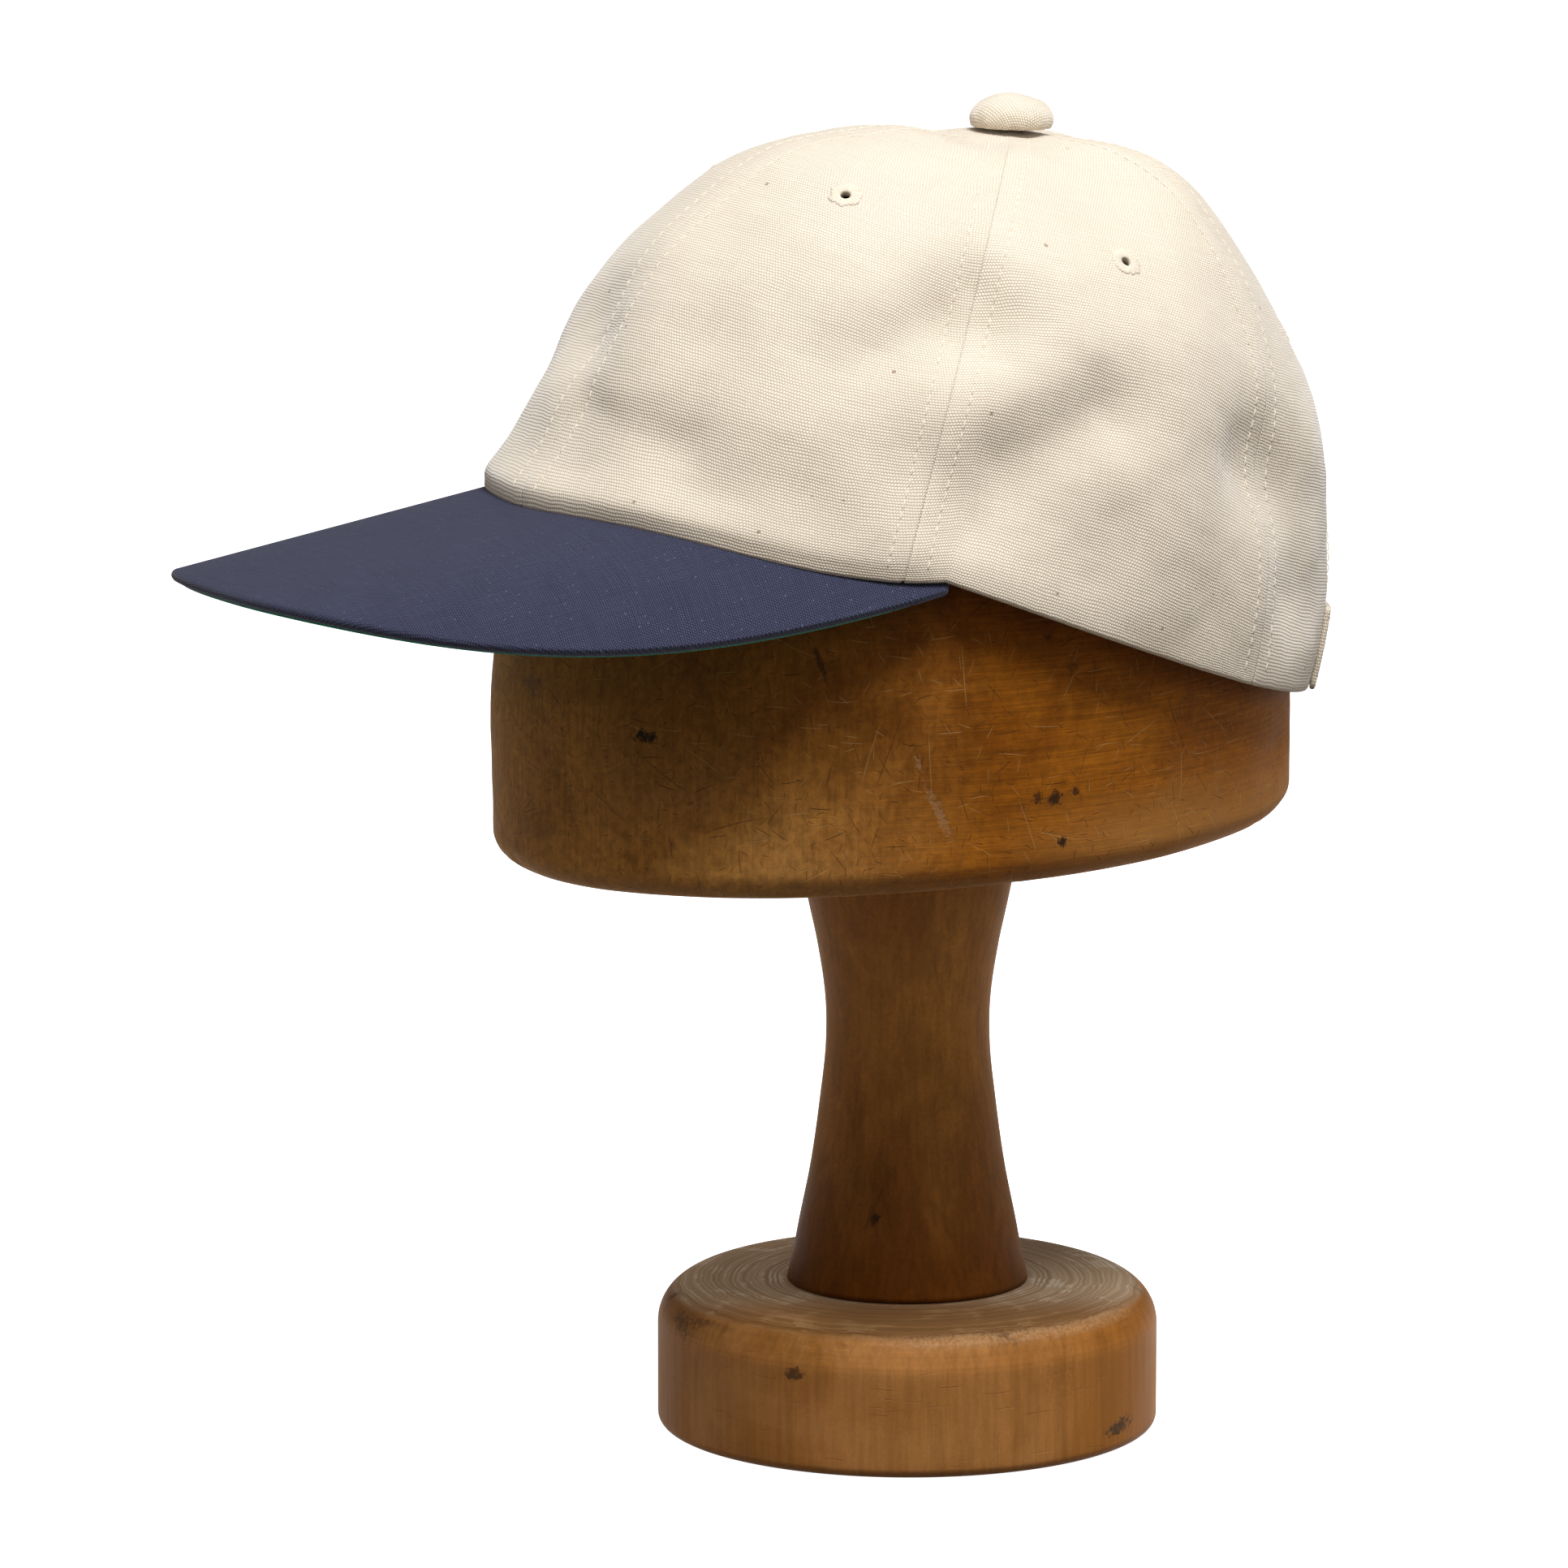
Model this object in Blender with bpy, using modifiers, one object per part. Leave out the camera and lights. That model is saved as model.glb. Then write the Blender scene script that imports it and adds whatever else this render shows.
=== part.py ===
"""A six-panel canvas cap with a long peak, resting on a wooden hat stand.

Blender 4.5 script, in metres, +Z up. The origin is the centre of the stand's underside, the peak
points to -Y and the wearer's left is +X. The cap's pieces are modelled in the cap's own frame, an
empty that leans back on the block.
"""
import math
from collections import namedtuple

import bmesh
import bpy
import numpy as np
from mathutils import Matrix, Vector

MM = 0.001
CLEARANCE = 0.3 * MM
ROUND_SIDES = 36
CUTTER_REACH = 6  # a cutter through a wall is this many times as deep as the wall

# Stand: foot and neck
BASE_RADIUS = 58.5 * MM
BASE_HEIGHT = 34.2 * MM
BASE_TOP_ROUND = 10.2 * MM
BASE_FOOT_ROUND = 2.5 * MM
NECK_FOOT_RADIUS = 28.2 * MM
NECK_HEIGHT = 107.1 * MM

# The cap's own frame, above the block's underside
BLOCK_UNDERSIDE = BASE_HEIGHT + NECK_HEIGHT
CAP_TILT = math.radians(16.5)
CAP_SET_FORWARD = 0.5 * MM
CAP_ABOVE_UNDERSIDE = 58.5 * MM
CAP_EDGE_HEIGHT = BLOCK_UNDERSIDE + CAP_ABOVE_UNDERSIDE

# Crown
CROWN_FRONT = 101.8 * MM
CROWN_BACK = 102.8 * MM
CROWN_HALF_WIDTH = 80.5 * MM
CROWN_HEIGHT = 108.6 * MM
CROWN_TOP_FORWARD = 2.6 * MM
CLOTH = 1.6 * MM
SEAM_GAP = 0.4 * MM
SIDE_SEAM_TURN = 62.8
BACK_SEAM_TURN = 121.8
LIP_OUT = 5.6 * MM
LIP_HEIGHT = 10 * MM
FOLD_FADE_HEIGHT = 6 * MM  # folds run out this far above the edge
CORE_HEIGHT = CROWN_HEIGHT / 4  # folds sink and eyelets stand out along lines from this point
EDGE_SAG = 5.3 * MM
EDGE_BACK_RISE = 0.8 * MM
TIP_RADIUS = 3.2 * MM
PANEL_COLUMNS = 10
PANEL_ROWS = 16
ROW_CROWDING = 1.6

# Hat block: the crown's oval, eased in all round; its dome rises until the crown seats on it
BLOCK_END_EASE = 1.9 * MM
BLOCK_SIDE_EASE = 6.4 * MM
SEAT_GAP = 0.1 * MM
SEAT_TRIES = 60
BLOCK_HALF_LENGTH = (CROWN_FRONT + CROWN_BACK) / 2 - CLOTH - BLOCK_END_EASE
BLOCK_HALF_WIDTH = CROWN_HALF_WIDTH - CLOTH - BLOCK_SIDE_EASE
BLOCK_SET_FORWARD = 3.9 * MM
BLOCK_EDGE_ROUND = 6.5 * MM
BLOCK_SIDE_HEIGHT = 34 * MM
BLOCK_DOME_FULLNESS = 2.16
BLOCK_DOME_STEPS = 10
BLOCK_EDGE_STEPS = 3

# Fullness of the crown's outline from the front (turn 0) round to the back (turn 180)
Section = namedtuple("Section", "turn side_fullness top_fullness")
CROWN_SECTIONS = (
    Section(0, 2.68, 1.52),
    Section(60, 2.45, 1.68),
    Section(90, 2.70, 1.60),
    Section(120, 2.35, 2.30),
    Section(180, 2.25, 1.85),
)

# Valleys (positive depth) and ridges (negative) between two places of the crown; turns in degrees,
# climbs from the edge (0) to the top (1), widths and depths as shares of the crown's height
Fold = namedtuple("Fold", "turn_a climb_a turn_b climb_b width depth")
FOLDS = (
    Fold(73, 0.12, 87, 0.22, 0.115, 0.040),
    Fold(121, 0.25, 117, 0.24, 0.13, 0.042),
    Fold(51, 0.27, 61, 0.40, 0.072, 0.015),
    Fold(62, 0.31, 65, 0.32, 0.12, 0.050),
    Fold(28, 0.21, 58, 0.20, 0.12, 0.012),
    Fold(-7, 0.19, -5, 0.17, 0.13, 0.030),
    Fold(4, 0.08, 26, 0.07, 0.06, 0.010),
    Fold(69, 0.05, 61, 0.11, 0.09, 0.016),
    Fold(89, 0.09, 80, 0.07, 0.12, 0.016),
    Fold(130, 0.11, 130, 0.20, 0.13, 0.024),
    Fold(109, 0.06, 114, 0.12, 0.12, 0.006),
    Fold(-30, 0.10, -58, 0.20, 0.11, 0.026),
    Fold(-84, 0.16, -104, 0.34, 0.11, 0.030),
    Fold(-132, 0.16, -138, 0.30, 0.11, 0.026),
    Fold(-40, 0.82, 40, 0.82, 0.10, 0.020),
    Fold(-130, 0.78, 130, 0.78, 0.17, -0.026),
    Fold(-20, 0.53, 20, 0.53, 0.15, -0.018),
    Fold(0, 0.99, 180, 0.99, 0.17, 0.012),
)

# Eyelets
EYELET_CLIMB = 0.49
EYELET_RADIUS = 3.75 * MM
EYELET_BORE = 1.0 * MM
EYELET_NECK = 1.9 * MM
EYELET_THICKNESS = 0.6 * MM
EYELET_EDGE_ROUND = 0.15 * MM
EYELET_SIDES = 12

# Button
BUTTON_RADIUS = 9.8 * MM
BUTTON_HEIGHT = 8.0 * MM
BUTTON_WAIST = 0.26
BUTTON_UNDER_RADIUS = 8.9 * MM
BUTTON_STEM_LENGTH = 2.2 * MM
BUTTON_STEM_PLAY = 0.6 * MM
BUTTON_SIDES = 24
BUTTON_DOME_STEPS = 6
BUTTON_ROLL_STEPS = 2

# Peak and undervisor
PEAK_TURN = 68.3
PEAK_REACH = 75.4 * MM
PEAK_RISE = -4.5 * MM
PEAK_SLOPE = math.radians(25.2)
PEAK_DROP = 32.9 * MM
PEAK_ARCH = 2.94
PEAK_SIDE_FULLNESS = 2.6
PEAK_FRONT_FULLNESS = 2.6
PEAK_CORNER_OUT = 0.4 * MM
PEAK_TUCK = 3.0 * MM
PEAK_THICKNESS = 2.2 * MM
PEAK_CLEARANCE = 0.6 * MM
PEAK_COLUMNS = 28
PEAK_ROWS = 6
UNDERVISOR_THICKNESS = 1.0 * MM
UNDERVISOR_INSET = 1.2 * MM

# Back opening, strap and buckle
OPENING_HALF_WIDTH = 34 * MM
OPENING_HEIGHT = 46 * MM
STRAP_WIDTH = 18 * MM
STRAP_THICKNESS = 1.4 * MM
STRAP_OVERLAP = 9 * MM
STRAP_ABOVE_EDGE = 1.0 * MM
STRAP_COLUMNS = 60
STRAP_ROWS = 2
BUCKLE_ASIDE = -12 * MM
BUCKLE_LENGTH = 19 * MM
BUCKLE_BAR = 2.2 * MM
BUCKLE_THICKNESS = 1.2 * MM
BUCKLE_EDGE_ROUND = 0.3 * MM
BUCKLE_PLAY = 0.6 * MM
BUCKLE_SIDE_PLAY = 1.2 * MM

# Share of the neck's height, radius as a share of the radius at its foot
NeckSection = namedtuple("NeckSection", "height radius")
NECK_SECTIONS = (
    NeckSection(0.00, 1.00),
    NeckSection(0.06, 0.95),
    NeckSection(0.13, 0.90),
    NeckSection(0.25, 0.81),
    NeckSection(0.40, 0.73),
    NeckSection(0.53, 0.68),
    NeckSection(0.61, 0.68),
    NeckSection(0.75, 0.75),
    NeckSection(0.85, 0.83),
    NeckSection(1.00, 0.94),
)
NECK_STEPS = 12

COLOURS = {
    "canvas": ((0.80, 0.72, 0.60), 0.9, 0.0),
    "navy": ((0.030, 0.036, 0.085), 0.85, 0.0),
    "green": ((0.02, 0.30, 0.21), 0.85, 0.0),
    "thread": ((0.76, 0.68, 0.55), 0.8, 0.0),
    "metal": ((0.55, 0.45, 0.28), 0.35, 1.0),
    "block_wood": ((0.22, 0.11, 0.045), 0.5, 0.0),
    "neck_wood": ((0.20, 0.10, 0.04), 0.45, 0.0),
    "base_wood": ((0.33, 0.17, 0.07), 0.45, 0.0),
}


# Scene set-up

def clear_scene():
    for item in list(bpy.data.objects):
        bpy.data.objects.remove(item)


def new_collection(name):
    collection = bpy.data.collections.new(name)
    bpy.context.scene.collection.children.link(collection)
    return collection


def material(name):
    found = bpy.data.materials.get(name)
    if found:
        return found
    colour, roughness, metallic = COLOURS[name]
    made = bpy.data.materials.new(name)
    made.use_nodes = True
    shader = made.node_tree.nodes["Principled BSDF"]
    shader.inputs["Base Color"].default_value = (*colour, 1)
    shader.inputs["Roughness"].default_value = roughness
    shader.inputs["Metallic"].default_value = metallic
    made.diffuse_color = (*colour, 1)
    return made


def add_object(name, mesh, finish, parent=None):
    thing = bpy.data.objects.new(name, mesh)
    PARTS.objects.link(thing)
    thing.data.materials.append(material(finish))
    thing.parent = parent
    return thing


def add_cutter(name, mesh, parent=None):
    thing = bpy.data.objects.new(name, mesh)
    CUTTERS.objects.link(thing)
    thing.parent = parent
    thing.hide_render = True
    thing.display_type = "WIRE"
    return thing


def cut(thing, cutter):
    boolean = thing.modifiers.new("cut_" + cutter.name, "BOOLEAN")
    boolean.operation = "DIFFERENCE"
    boolean.solver = "EXACT"
    boolean.object = cutter


def thicken(thing, thickness, offset):
    wall = thing.modifiers.new("wall", "SOLIDIFY")
    wall.thickness = thickness
    wall.offset = offset


# Shared shape helpers

def bent_grid(name, columns, rows, place):
    """Mesh of a flat grid whose points go where place(across, along) says, both from 0 to 1."""
    grid = bmesh.new()
    bmesh.ops.create_grid(grid, x_segments=columns, y_segments=rows, size=1)
    across = np.array([(point.co.x + 1) / 2 for point in grid.verts])
    along = np.array([(point.co.y + 1) / 2 for point in grid.verts])
    for point, where in zip(grid.verts, place(across, along)):
        point.co = Vector(where.tolist())
    mesh = bpy.data.meshes.new(name)
    grid.to_mesh(mesh)
    grid.free()
    mesh.shade_smooth()
    return mesh


def turned(name, profile, sides, finish, parent=None):
    """Solid of revolution from (radius, height) points down its outer side."""
    outline = bmesh.new()
    corners = [outline.verts.new((radius, 0, height)) for radius, height in profile]
    for upper, lower in zip(corners, corners[1:]):
        outline.edges.new((upper, lower))
    mesh = bpy.data.meshes.new(name)
    outline.to_mesh(mesh)
    outline.free()
    thing = add_object(name, mesh, finish, parent)
    screw = thing.modifiers.new("turning", "SCREW")
    screw.steps = sides
    screw.render_steps = sides
    screw.use_merge_vertices = True
    screw.merge_threshold = 0.01 * MM
    return thing


def arc(centre, radius, start, end, steps):
    """(radius, height) points of an arc in a turned profile; angles in degrees from level."""
    angles = [math.radians(start + (end - start) * step / steps) for step in range(steps + 1)]
    return [(centre[0] + radius * math.cos(a), centre[1] + radius * math.sin(a)) for a in angles]


def smooth_through(rows, share, column, level_ends=False):
    """A table's column on a smooth curve through its rows, at each share of its first column."""
    stops = np.array([row[0] for row in rows], float)
    values = np.array([getattr(row, column) for row in rows], float)
    slopes = np.gradient(values, stops)
    if level_ends:
        slopes[[0, -1]] = 0
    low = np.clip(np.searchsorted(stops, share, side="right") - 1, 0, len(stops) - 2)
    width = stops[low + 1] - stops[low]
    step = (share - stops[low]) / width
    eased = values[low] + (values[low + 1] - values[low]) * step * step * (3 - 2 * step)
    lean = slopes[low] * (1 - step) - slopes[low + 1] * step
    return eased + width * step * (1 - step) * lean


def crown_fullness(turn):
    """Fullness of the crown's side and of its top at a turn."""
    away = np.abs(turn)
    side = smooth_through(CROWN_SECTIONS, away, "side_fullness", level_ends=True)
    top = smooth_through(CROWN_SECTIONS, away, "top_fullness", level_ends=True)
    return side, top


# The crown's surface, in the cap's frame

def oval(turn):
    """Plan of the crown's edge without its lip."""
    angle = np.radians(turn)
    half_length = np.where(np.cos(angle) > 0, CROWN_FRONT, CROWN_BACK)
    return CROWN_HALF_WIDTH * np.sin(angle), -half_length * np.cos(angle)


def lip_at(turn):
    """How far the edge rolls out over the peak."""
    share = np.clip(np.abs(turn) / PEAK_TURN, 0, 1)
    return LIP_OUT * (1 - share ** 3)


def edge_plan(turn, inward=0.0):
    """Plan of the crown's edge with its lip, drawn in by a distance."""
    x, y = oval(turn)
    reach = np.hypot(x, y)
    scale = 1 + (lip_at(turn) - inward) / reach
    return x * scale, y * scale


def peak_height(x, y):
    """Height of the peak's arched sheet at a place of the plan."""
    forward = -y - CROWN_FRONT - LIP_OUT
    arch = PEAK_DROP * (np.abs(x) / CROWN_HALF_WIDTH) ** PEAK_ARCH
    return PEAK_RISE - math.tan(PEAK_SLOPE) * forward - arch


def edge_height(turn):
    """Height of the crown's edge: it rests on the peak, then sags and rises to the back."""
    on_peak = peak_height(*edge_plan(turn, CLOTH))
    corner = peak_height(*edge_plan(np.array(PEAK_TURN), CLOTH))
    share = np.clip((np.abs(turn) - PEAK_TURN) / (180 - PEAK_TURN), 0, 1)
    fading = corner * (1 - share) ** 2 * (1 + 2 * share)
    rising = EDGE_BACK_RISE * share * share * (3 - 2 * share)
    behind = fading + rising - EDGE_SAG * np.sin(math.pi * share) * (1 - share ** 4)
    return np.where(np.abs(turn) < PEAK_TURN, on_peak, behind)


def climb_at_height(turn, height):
    """Climb at which the crown is a height above its edge."""
    share = np.clip(height / (CROWN_HEIGHT - edge_height(turn)), 0, 1)
    side, _ = crown_fullness(turn)
    return np.arcsin(share ** (side / 2)) / (math.pi / 2)


def climb_at_tip(turn, radius=TIP_RADIUS):
    """Climb at a radius round the top: the panels stop at the ring round the button's stem."""
    x, y = oval(turn)
    _, top = crown_fullness(turn)
    return np.arccos((radius / np.hypot(x, y)) ** (top / 2)) / (math.pi / 2)


def smooth_crown(turn, climb):
    """Points of the crown's outer face before its folds."""
    side, top = crown_fullness(turn)
    x, y = oval(turn)
    low = edge_height(turn)
    out = np.cos(climb * math.pi / 2) ** (2 / top)
    up = (CROWN_HEIGHT - low) * np.sin(climb * math.pi / 2) ** (2 / side)
    roll = 1 + lip_at(turn) / np.hypot(x, y) * np.exp(-(up / LIP_HEIGHT) ** 2) / out
    return np.stack([x * out * roll, y * out * roll - CROWN_TOP_FORWARD * (1 - out), low + up], axis=-1)


def fold_depth(points):
    """How deep the folds and dents lie at each point of the smooth crown."""
    depth = np.zeros(len(points))
    for fold in FOLDS:
        turns = np.array([fold.turn_a, fold.turn_b], float)
        ends = smooth_crown(turns, np.array([fold.climb_a, fold.climb_b]))
        run = ends[1] - ends[0]
        along = np.clip((points - ends[0]) @ run / (run @ run), 0, 1)
        away = np.linalg.norm(points - ends[0] - along[:, None] * run, axis=1)
        depth += fold.depth * CROWN_HEIGHT * np.exp(-(away / (fold.width * CROWN_HEIGHT)) ** 2)
    return depth


def crown_surface(turn, climb, outward=0.0):
    """Points of the crown's outer face, or of a face a little outside it."""
    points = smooth_crown(turn, climb)
    above_edge = points[:, 2] - edge_height(turn)
    hollow = fold_depth(points) * (1 - np.exp(-(above_edge / FOLD_FADE_HEIGHT) ** 2))
    direction = points - np.array([0, 0, CORE_HEIGHT])
    direction /= np.linalg.norm(direction, axis=1)[:, None]
    return points + direction * (outward - hollow)[:, None]


def seam_inset(turn, climb):
    """Turn that half a seam's gap takes up beside the seam."""
    angle = math.radians(turn)
    _, top = crown_fullness(np.full_like(climb, turn))
    out = np.cos(climb * math.pi / 2) ** (2 / top)
    per_radian = math.hypot(CROWN_HALF_WIDTH * math.cos(angle), CROWN_FRONT * math.sin(angle))
    return np.degrees(SEAM_GAP / 2 / (per_radian * out))


def frame_on(face):
    """Matrix of a place on a face: +X aside, +Y up, +Z out. The face gives points for small steps."""
    step = 2 * MM
    aside = np.array([0, step, -step, 0, 0])
    up = np.array([0, 0, 0, step, -step])
    place, right, left, above, below = [Vector(point.tolist()) for point in face(aside, up)]
    level = (right - left).normalized()
    outward = level.cross(above - below).normalized()
    axes = Matrix((level, outward.cross(level), outward)).transposed().to_4x4()
    return Matrix.Translation(place) @ axes


def eyelet_frame(turn):
    def face(aside, up):
        return crown_surface(turn + np.degrees(aside / CROWN_FRONT), EYELET_CLIMB + up / CROWN_HEIGHT)

    return frame_on(face)


def button_frame():
    """Frame of the button: it leans as the cloth under its rim does, and clears the panels' tips."""
    turns = np.array([0.0, 90.0, 180.0, -90.0])
    rim = crown_surface(turns, climb_at_tip(turns, BUTTON_UNDER_RADIUS))
    front, left, back, right = [Vector(point.tolist()) for point in rim]
    aside = (left - right).normalized()
    outward = aside.cross(back - front).normalized()
    middle = Vector(crown_surface(turns, climb_at_tip(turns)).mean(axis=0).tolist())
    ring = np.linspace(-180, 180, SEAT_TRIES)
    under = np.concatenate([crown_surface(ring, climb_at_tip(ring, radius))
                            for radius in np.linspace(TIP_RADIUS, BUTTON_UNDER_RADIUS, BUTTON_DOME_STEPS)])
    rise = max((under - np.array(middle)) @ np.array(outward))
    axes = Matrix((aside, outward.cross(aside), outward)).transposed().to_4x4()
    return Matrix.Translation(middle + outward * (rise + CLEARANCE)) @ axes


# Crown pieces

def panel(name, start, end, cap):
    def place(across, along):
        climb = along ** ROW_CROWDING * np.minimum(climb_at_tip(start), climb_at_tip(end))
        low = start + seam_inset(start, climb)
        high = end - seam_inset(end, climb)
        turn = low + (high - low) * across
        climb = along ** ROW_CROWDING * climb_at_tip(turn)
        return crown_surface(turn, climb)

    mesh = bent_grid(name, PANEL_COLUMNS, PANEL_ROWS, place)
    thing = add_object(name, mesh, "canvas", cap)
    thicken(thing, CLOTH, -1)
    return thing


def eyelet(name, turn, cap):
    top = EYELET_THICKNESS
    shoulder = top - EYELET_EDGE_ROUND
    profile = [
        (EYELET_BORE, shoulder),
        ((EYELET_BORE + EYELET_RADIUS) / 2, top),
        (EYELET_RADIUS - EYELET_EDGE_ROUND, shoulder),
        (EYELET_RADIUS, top / 2),
        (EYELET_RADIUS - EYELET_EDGE_ROUND, 0),
        (EYELET_NECK, 0),
        (EYELET_NECK, -CLOTH),
        (EYELET_BORE, -CLOTH),
        (EYELET_BORE, shoulder),
    ]
    thing = turned(name, profile, EYELET_SIDES, "thread", cap)
    thing.matrix_local = eyelet_frame(turn) @ Matrix.Translation((0, 0, CLEARANCE))
    return thing


def eyelet_hole(name, turn, cap):
    hole = bmesh.new()
    radius = EYELET_NECK + CLEARANCE
    bmesh.ops.create_cone(hole, cap_ends=True, segments=EYELET_SIDES, radius1=radius, radius2=radius,
                          depth=CUTTER_REACH * CLOTH)
    mesh = bpy.data.meshes.new(name)
    hole.to_mesh(mesh)
    hole.free()
    cutter = add_cutter(name, mesh, cap)
    cutter.matrix_local = eyelet_frame(turn)
    return cutter


def opening_cutter(cap):
    """Half-moon over the strap: an elliptic bar along Y through the crown's back."""
    bar = bmesh.new()
    bmesh.ops.create_cone(bar, cap_ends=True, segments=ROUND_SIDES, radius1=1, radius2=1, depth=1)
    reach = CROWN_BACK
    shape = Matrix.Diagonal((OPENING_HALF_WIDTH, reach, OPENING_HEIGHT, 1))
    bar.transform(shape @ Matrix.Rotation(math.pi / 2, 4, "X"))
    mesh = bpy.data.meshes.new("opening_bar")
    bar.to_mesh(mesh)
    bar.free()
    cutter = add_cutter("opening_bar", mesh, cap)
    cutter.location = (0, reach, float(edge_height(np.array(180.0))))
    return cutter


def button(cap):
    waist = BUTTON_WAIST * BUTTON_HEIGHT
    dome = BUTTON_HEIGHT - waist
    profile = []
    for step in range(BUTTON_DOME_STEPS + 1):
        angle = math.pi / 2 * step / BUTTON_DOME_STEPS
        profile.append((BUTTON_RADIUS * math.sin(angle), waist + dome * math.cos(angle)))
    for step in range(1, BUTTON_ROLL_STEPS + 1):
        angle = math.pi / 2 * step / BUTTON_ROLL_STEPS
        inset = (BUTTON_RADIUS - BUTTON_UNDER_RADIUS) * (1 - math.cos(angle))
        profile.append((BUTTON_RADIUS - inset, waist * (1 - math.sin(angle))))
    stem = TIP_RADIUS - BUTTON_STEM_PLAY
    profile += [(stem, 0), (stem, -BUTTON_STEM_LENGTH), (0, -BUTTON_STEM_LENGTH)]
    thing = turned("button", profile, BUTTON_SIDES, "canvas", cap)
    thing.matrix_local = button_frame()
    return thing


# Peak and undervisor

def sheet_point(x, y, depth):
    """Points a distance under the peak's sheet, square to it."""
    step = 0.1 * MM
    slope_x = (peak_height(x + step, y) - peak_height(x - step, y)) / (2 * step)
    slope_y = (peak_height(x, y + step) - peak_height(x, y - step)) / (2 * step)
    size = np.sqrt(1 + slope_x ** 2 + slope_y ** 2)
    return np.stack([x + slope_x / size * depth, y + slope_y / size * depth,
                     peak_height(x, y) - depth / size], axis=-1)


def visor_sheet(name, depth, inset, thickness, finish, cap):
    """A sheet that runs from under the crown's edge to the peak's rim."""
    corner_x, corner_y = edge_plan(np.array(PEAK_TURN))

    def place(across, along):
        side = 1 - 2 * across
        inner_x, inner_y = edge_plan(side * PEAK_TURN, PEAK_TUCK)
        angle = side * math.pi / 2
        out_x = np.abs(np.sin(angle)) ** (2 / PEAK_SIDE_FULLNESS) * np.sign(side)
        out_y = np.cos(angle) ** (2 / PEAK_FRONT_FULLNESS)
        rim_x = (corner_x + PEAK_CORNER_OUT) * out_x
        rim_y = corner_y - (CROWN_FRONT + PEAK_REACH + corner_y) * out_y
        length = np.hypot(rim_x - inner_x, rim_y - inner_y)
        share = along * (1 - inset / np.maximum(length, 2 * inset + CLEARANCE))
        x = inner_x + (rim_x - inner_x) * share
        y = inner_y + (rim_y - inner_y) * share
        return sheet_point(x, y, depth)

    mesh = bent_grid(name, PEAK_COLUMNS, PEAK_ROWS, place)
    thing = add_object(name, mesh, finish, cap)
    thicken(thing, thickness, -1)
    return thing


# Strap and buckle

def strap_turn(distance):
    """Turn of a place that lies a distance to the wearer's left of the back's middle."""
    per_degree = CROWN_HALF_WIDTH * math.radians(1)
    return 180 - distance / per_degree


def strap_rise(distance):
    """How far the strap weaves out: under the buckle's side bars, over its middle bar."""
    away = np.abs(distance - BUCKLE_ASIDE)
    near = BUCKLE_BAR / 2 + CLEARANCE
    far = BUCKLE_LENGTH / 2 - BUCKLE_BAR - CLEARANCE
    share = np.clip((away - near) / (far - near), 0, 1)
    over_bar = STRAP_THICKNESS + BUCKLE_THICKNESS + 2 * BUCKLE_PLAY
    return over_bar * (1 + np.cos(math.pi * share)) / 2


def strap_face(distance, share, outward):
    """Points of the strap's inner face, a share of its width up."""
    turn = strap_turn(distance)
    climb = climb_at_height(turn, STRAP_ABOVE_EDGE + STRAP_WIDTH * share)
    either_side = np.where(turn > 180, turn - 360, turn)
    return crown_surface(either_side, climb, outward)


def strap(cap):
    reach = OPENING_HALF_WIDTH + STRAP_OVERLAP

    def place(across, along):
        distance = reach * (1 - 2 * across)
        return strap_face(distance, along, CLEARANCE + strap_rise(distance))

    mesh = bent_grid("strap", STRAP_COLUMNS, STRAP_ROWS, place)
    thing = add_object("strap", mesh, "canvas", cap)
    thicken(thing, STRAP_THICKNESS, 1)
    return thing


def block_mesh(name, size):
    box = bmesh.new()
    bmesh.ops.create_cube(box, size=1)
    box.transform(Matrix.Diagonal((*size, 1)))
    mesh = bpy.data.meshes.new(name)
    box.to_mesh(mesh)
    box.free()
    return mesh


def buckle(cap):
    window_height = STRAP_WIDTH + 2 * BUCKLE_SIDE_PLAY
    height = window_height + 2 * BUCKLE_BAR
    window_length = (BUCKLE_LENGTH - 3 * BUCKLE_BAR) / 2

    def face(aside, up):
        return strap_face(BUCKLE_ASIDE - aside, 0.5 + up / STRAP_WIDTH, 0.0)

    lift = CLEARANCE + STRAP_THICKNESS + BUCKLE_PLAY + BUCKLE_THICKNESS / 2
    place = frame_on(face) @ Matrix.Translation((0, 0, lift))
    thing = add_object("buckle", block_mesh("buckle", (BUCKLE_LENGTH, height, BUCKLE_THICKNESS)),
                       "metal", cap)
    thing.matrix_local = place
    for side in (-1, 1):
        size = (window_length, window_height, CUTTER_REACH * BUCKLE_THICKNESS)
        window = add_cutter("buckle_window", block_mesh("buckle_window", size), cap)
        aside = side * (BUCKLE_BAR + window_length) / 2
        window.matrix_local = place @ Matrix.Translation((aside, 0, 0))
        cut(thing, window)
    rounding = thing.modifiers.new("rounding", "BEVEL")
    rounding.width = BUCKLE_EDGE_ROUND
    rounding.segments = 1
    return thing


# Stand

def stand_base():
    top = BASE_HEIGHT
    profile = [(0, top)]
    profile += arc((BASE_RADIUS - BASE_TOP_ROUND, top - BASE_TOP_ROUND), BASE_TOP_ROUND, 90, 0, 6)
    profile += arc((BASE_RADIUS - BASE_FOOT_ROUND, BASE_FOOT_ROUND), BASE_FOOT_ROUND, 0, -90, 2)
    profile.append((0, 0))
    return turned("stand_base", profile, ROUND_SIDES, "base_wood")


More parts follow.
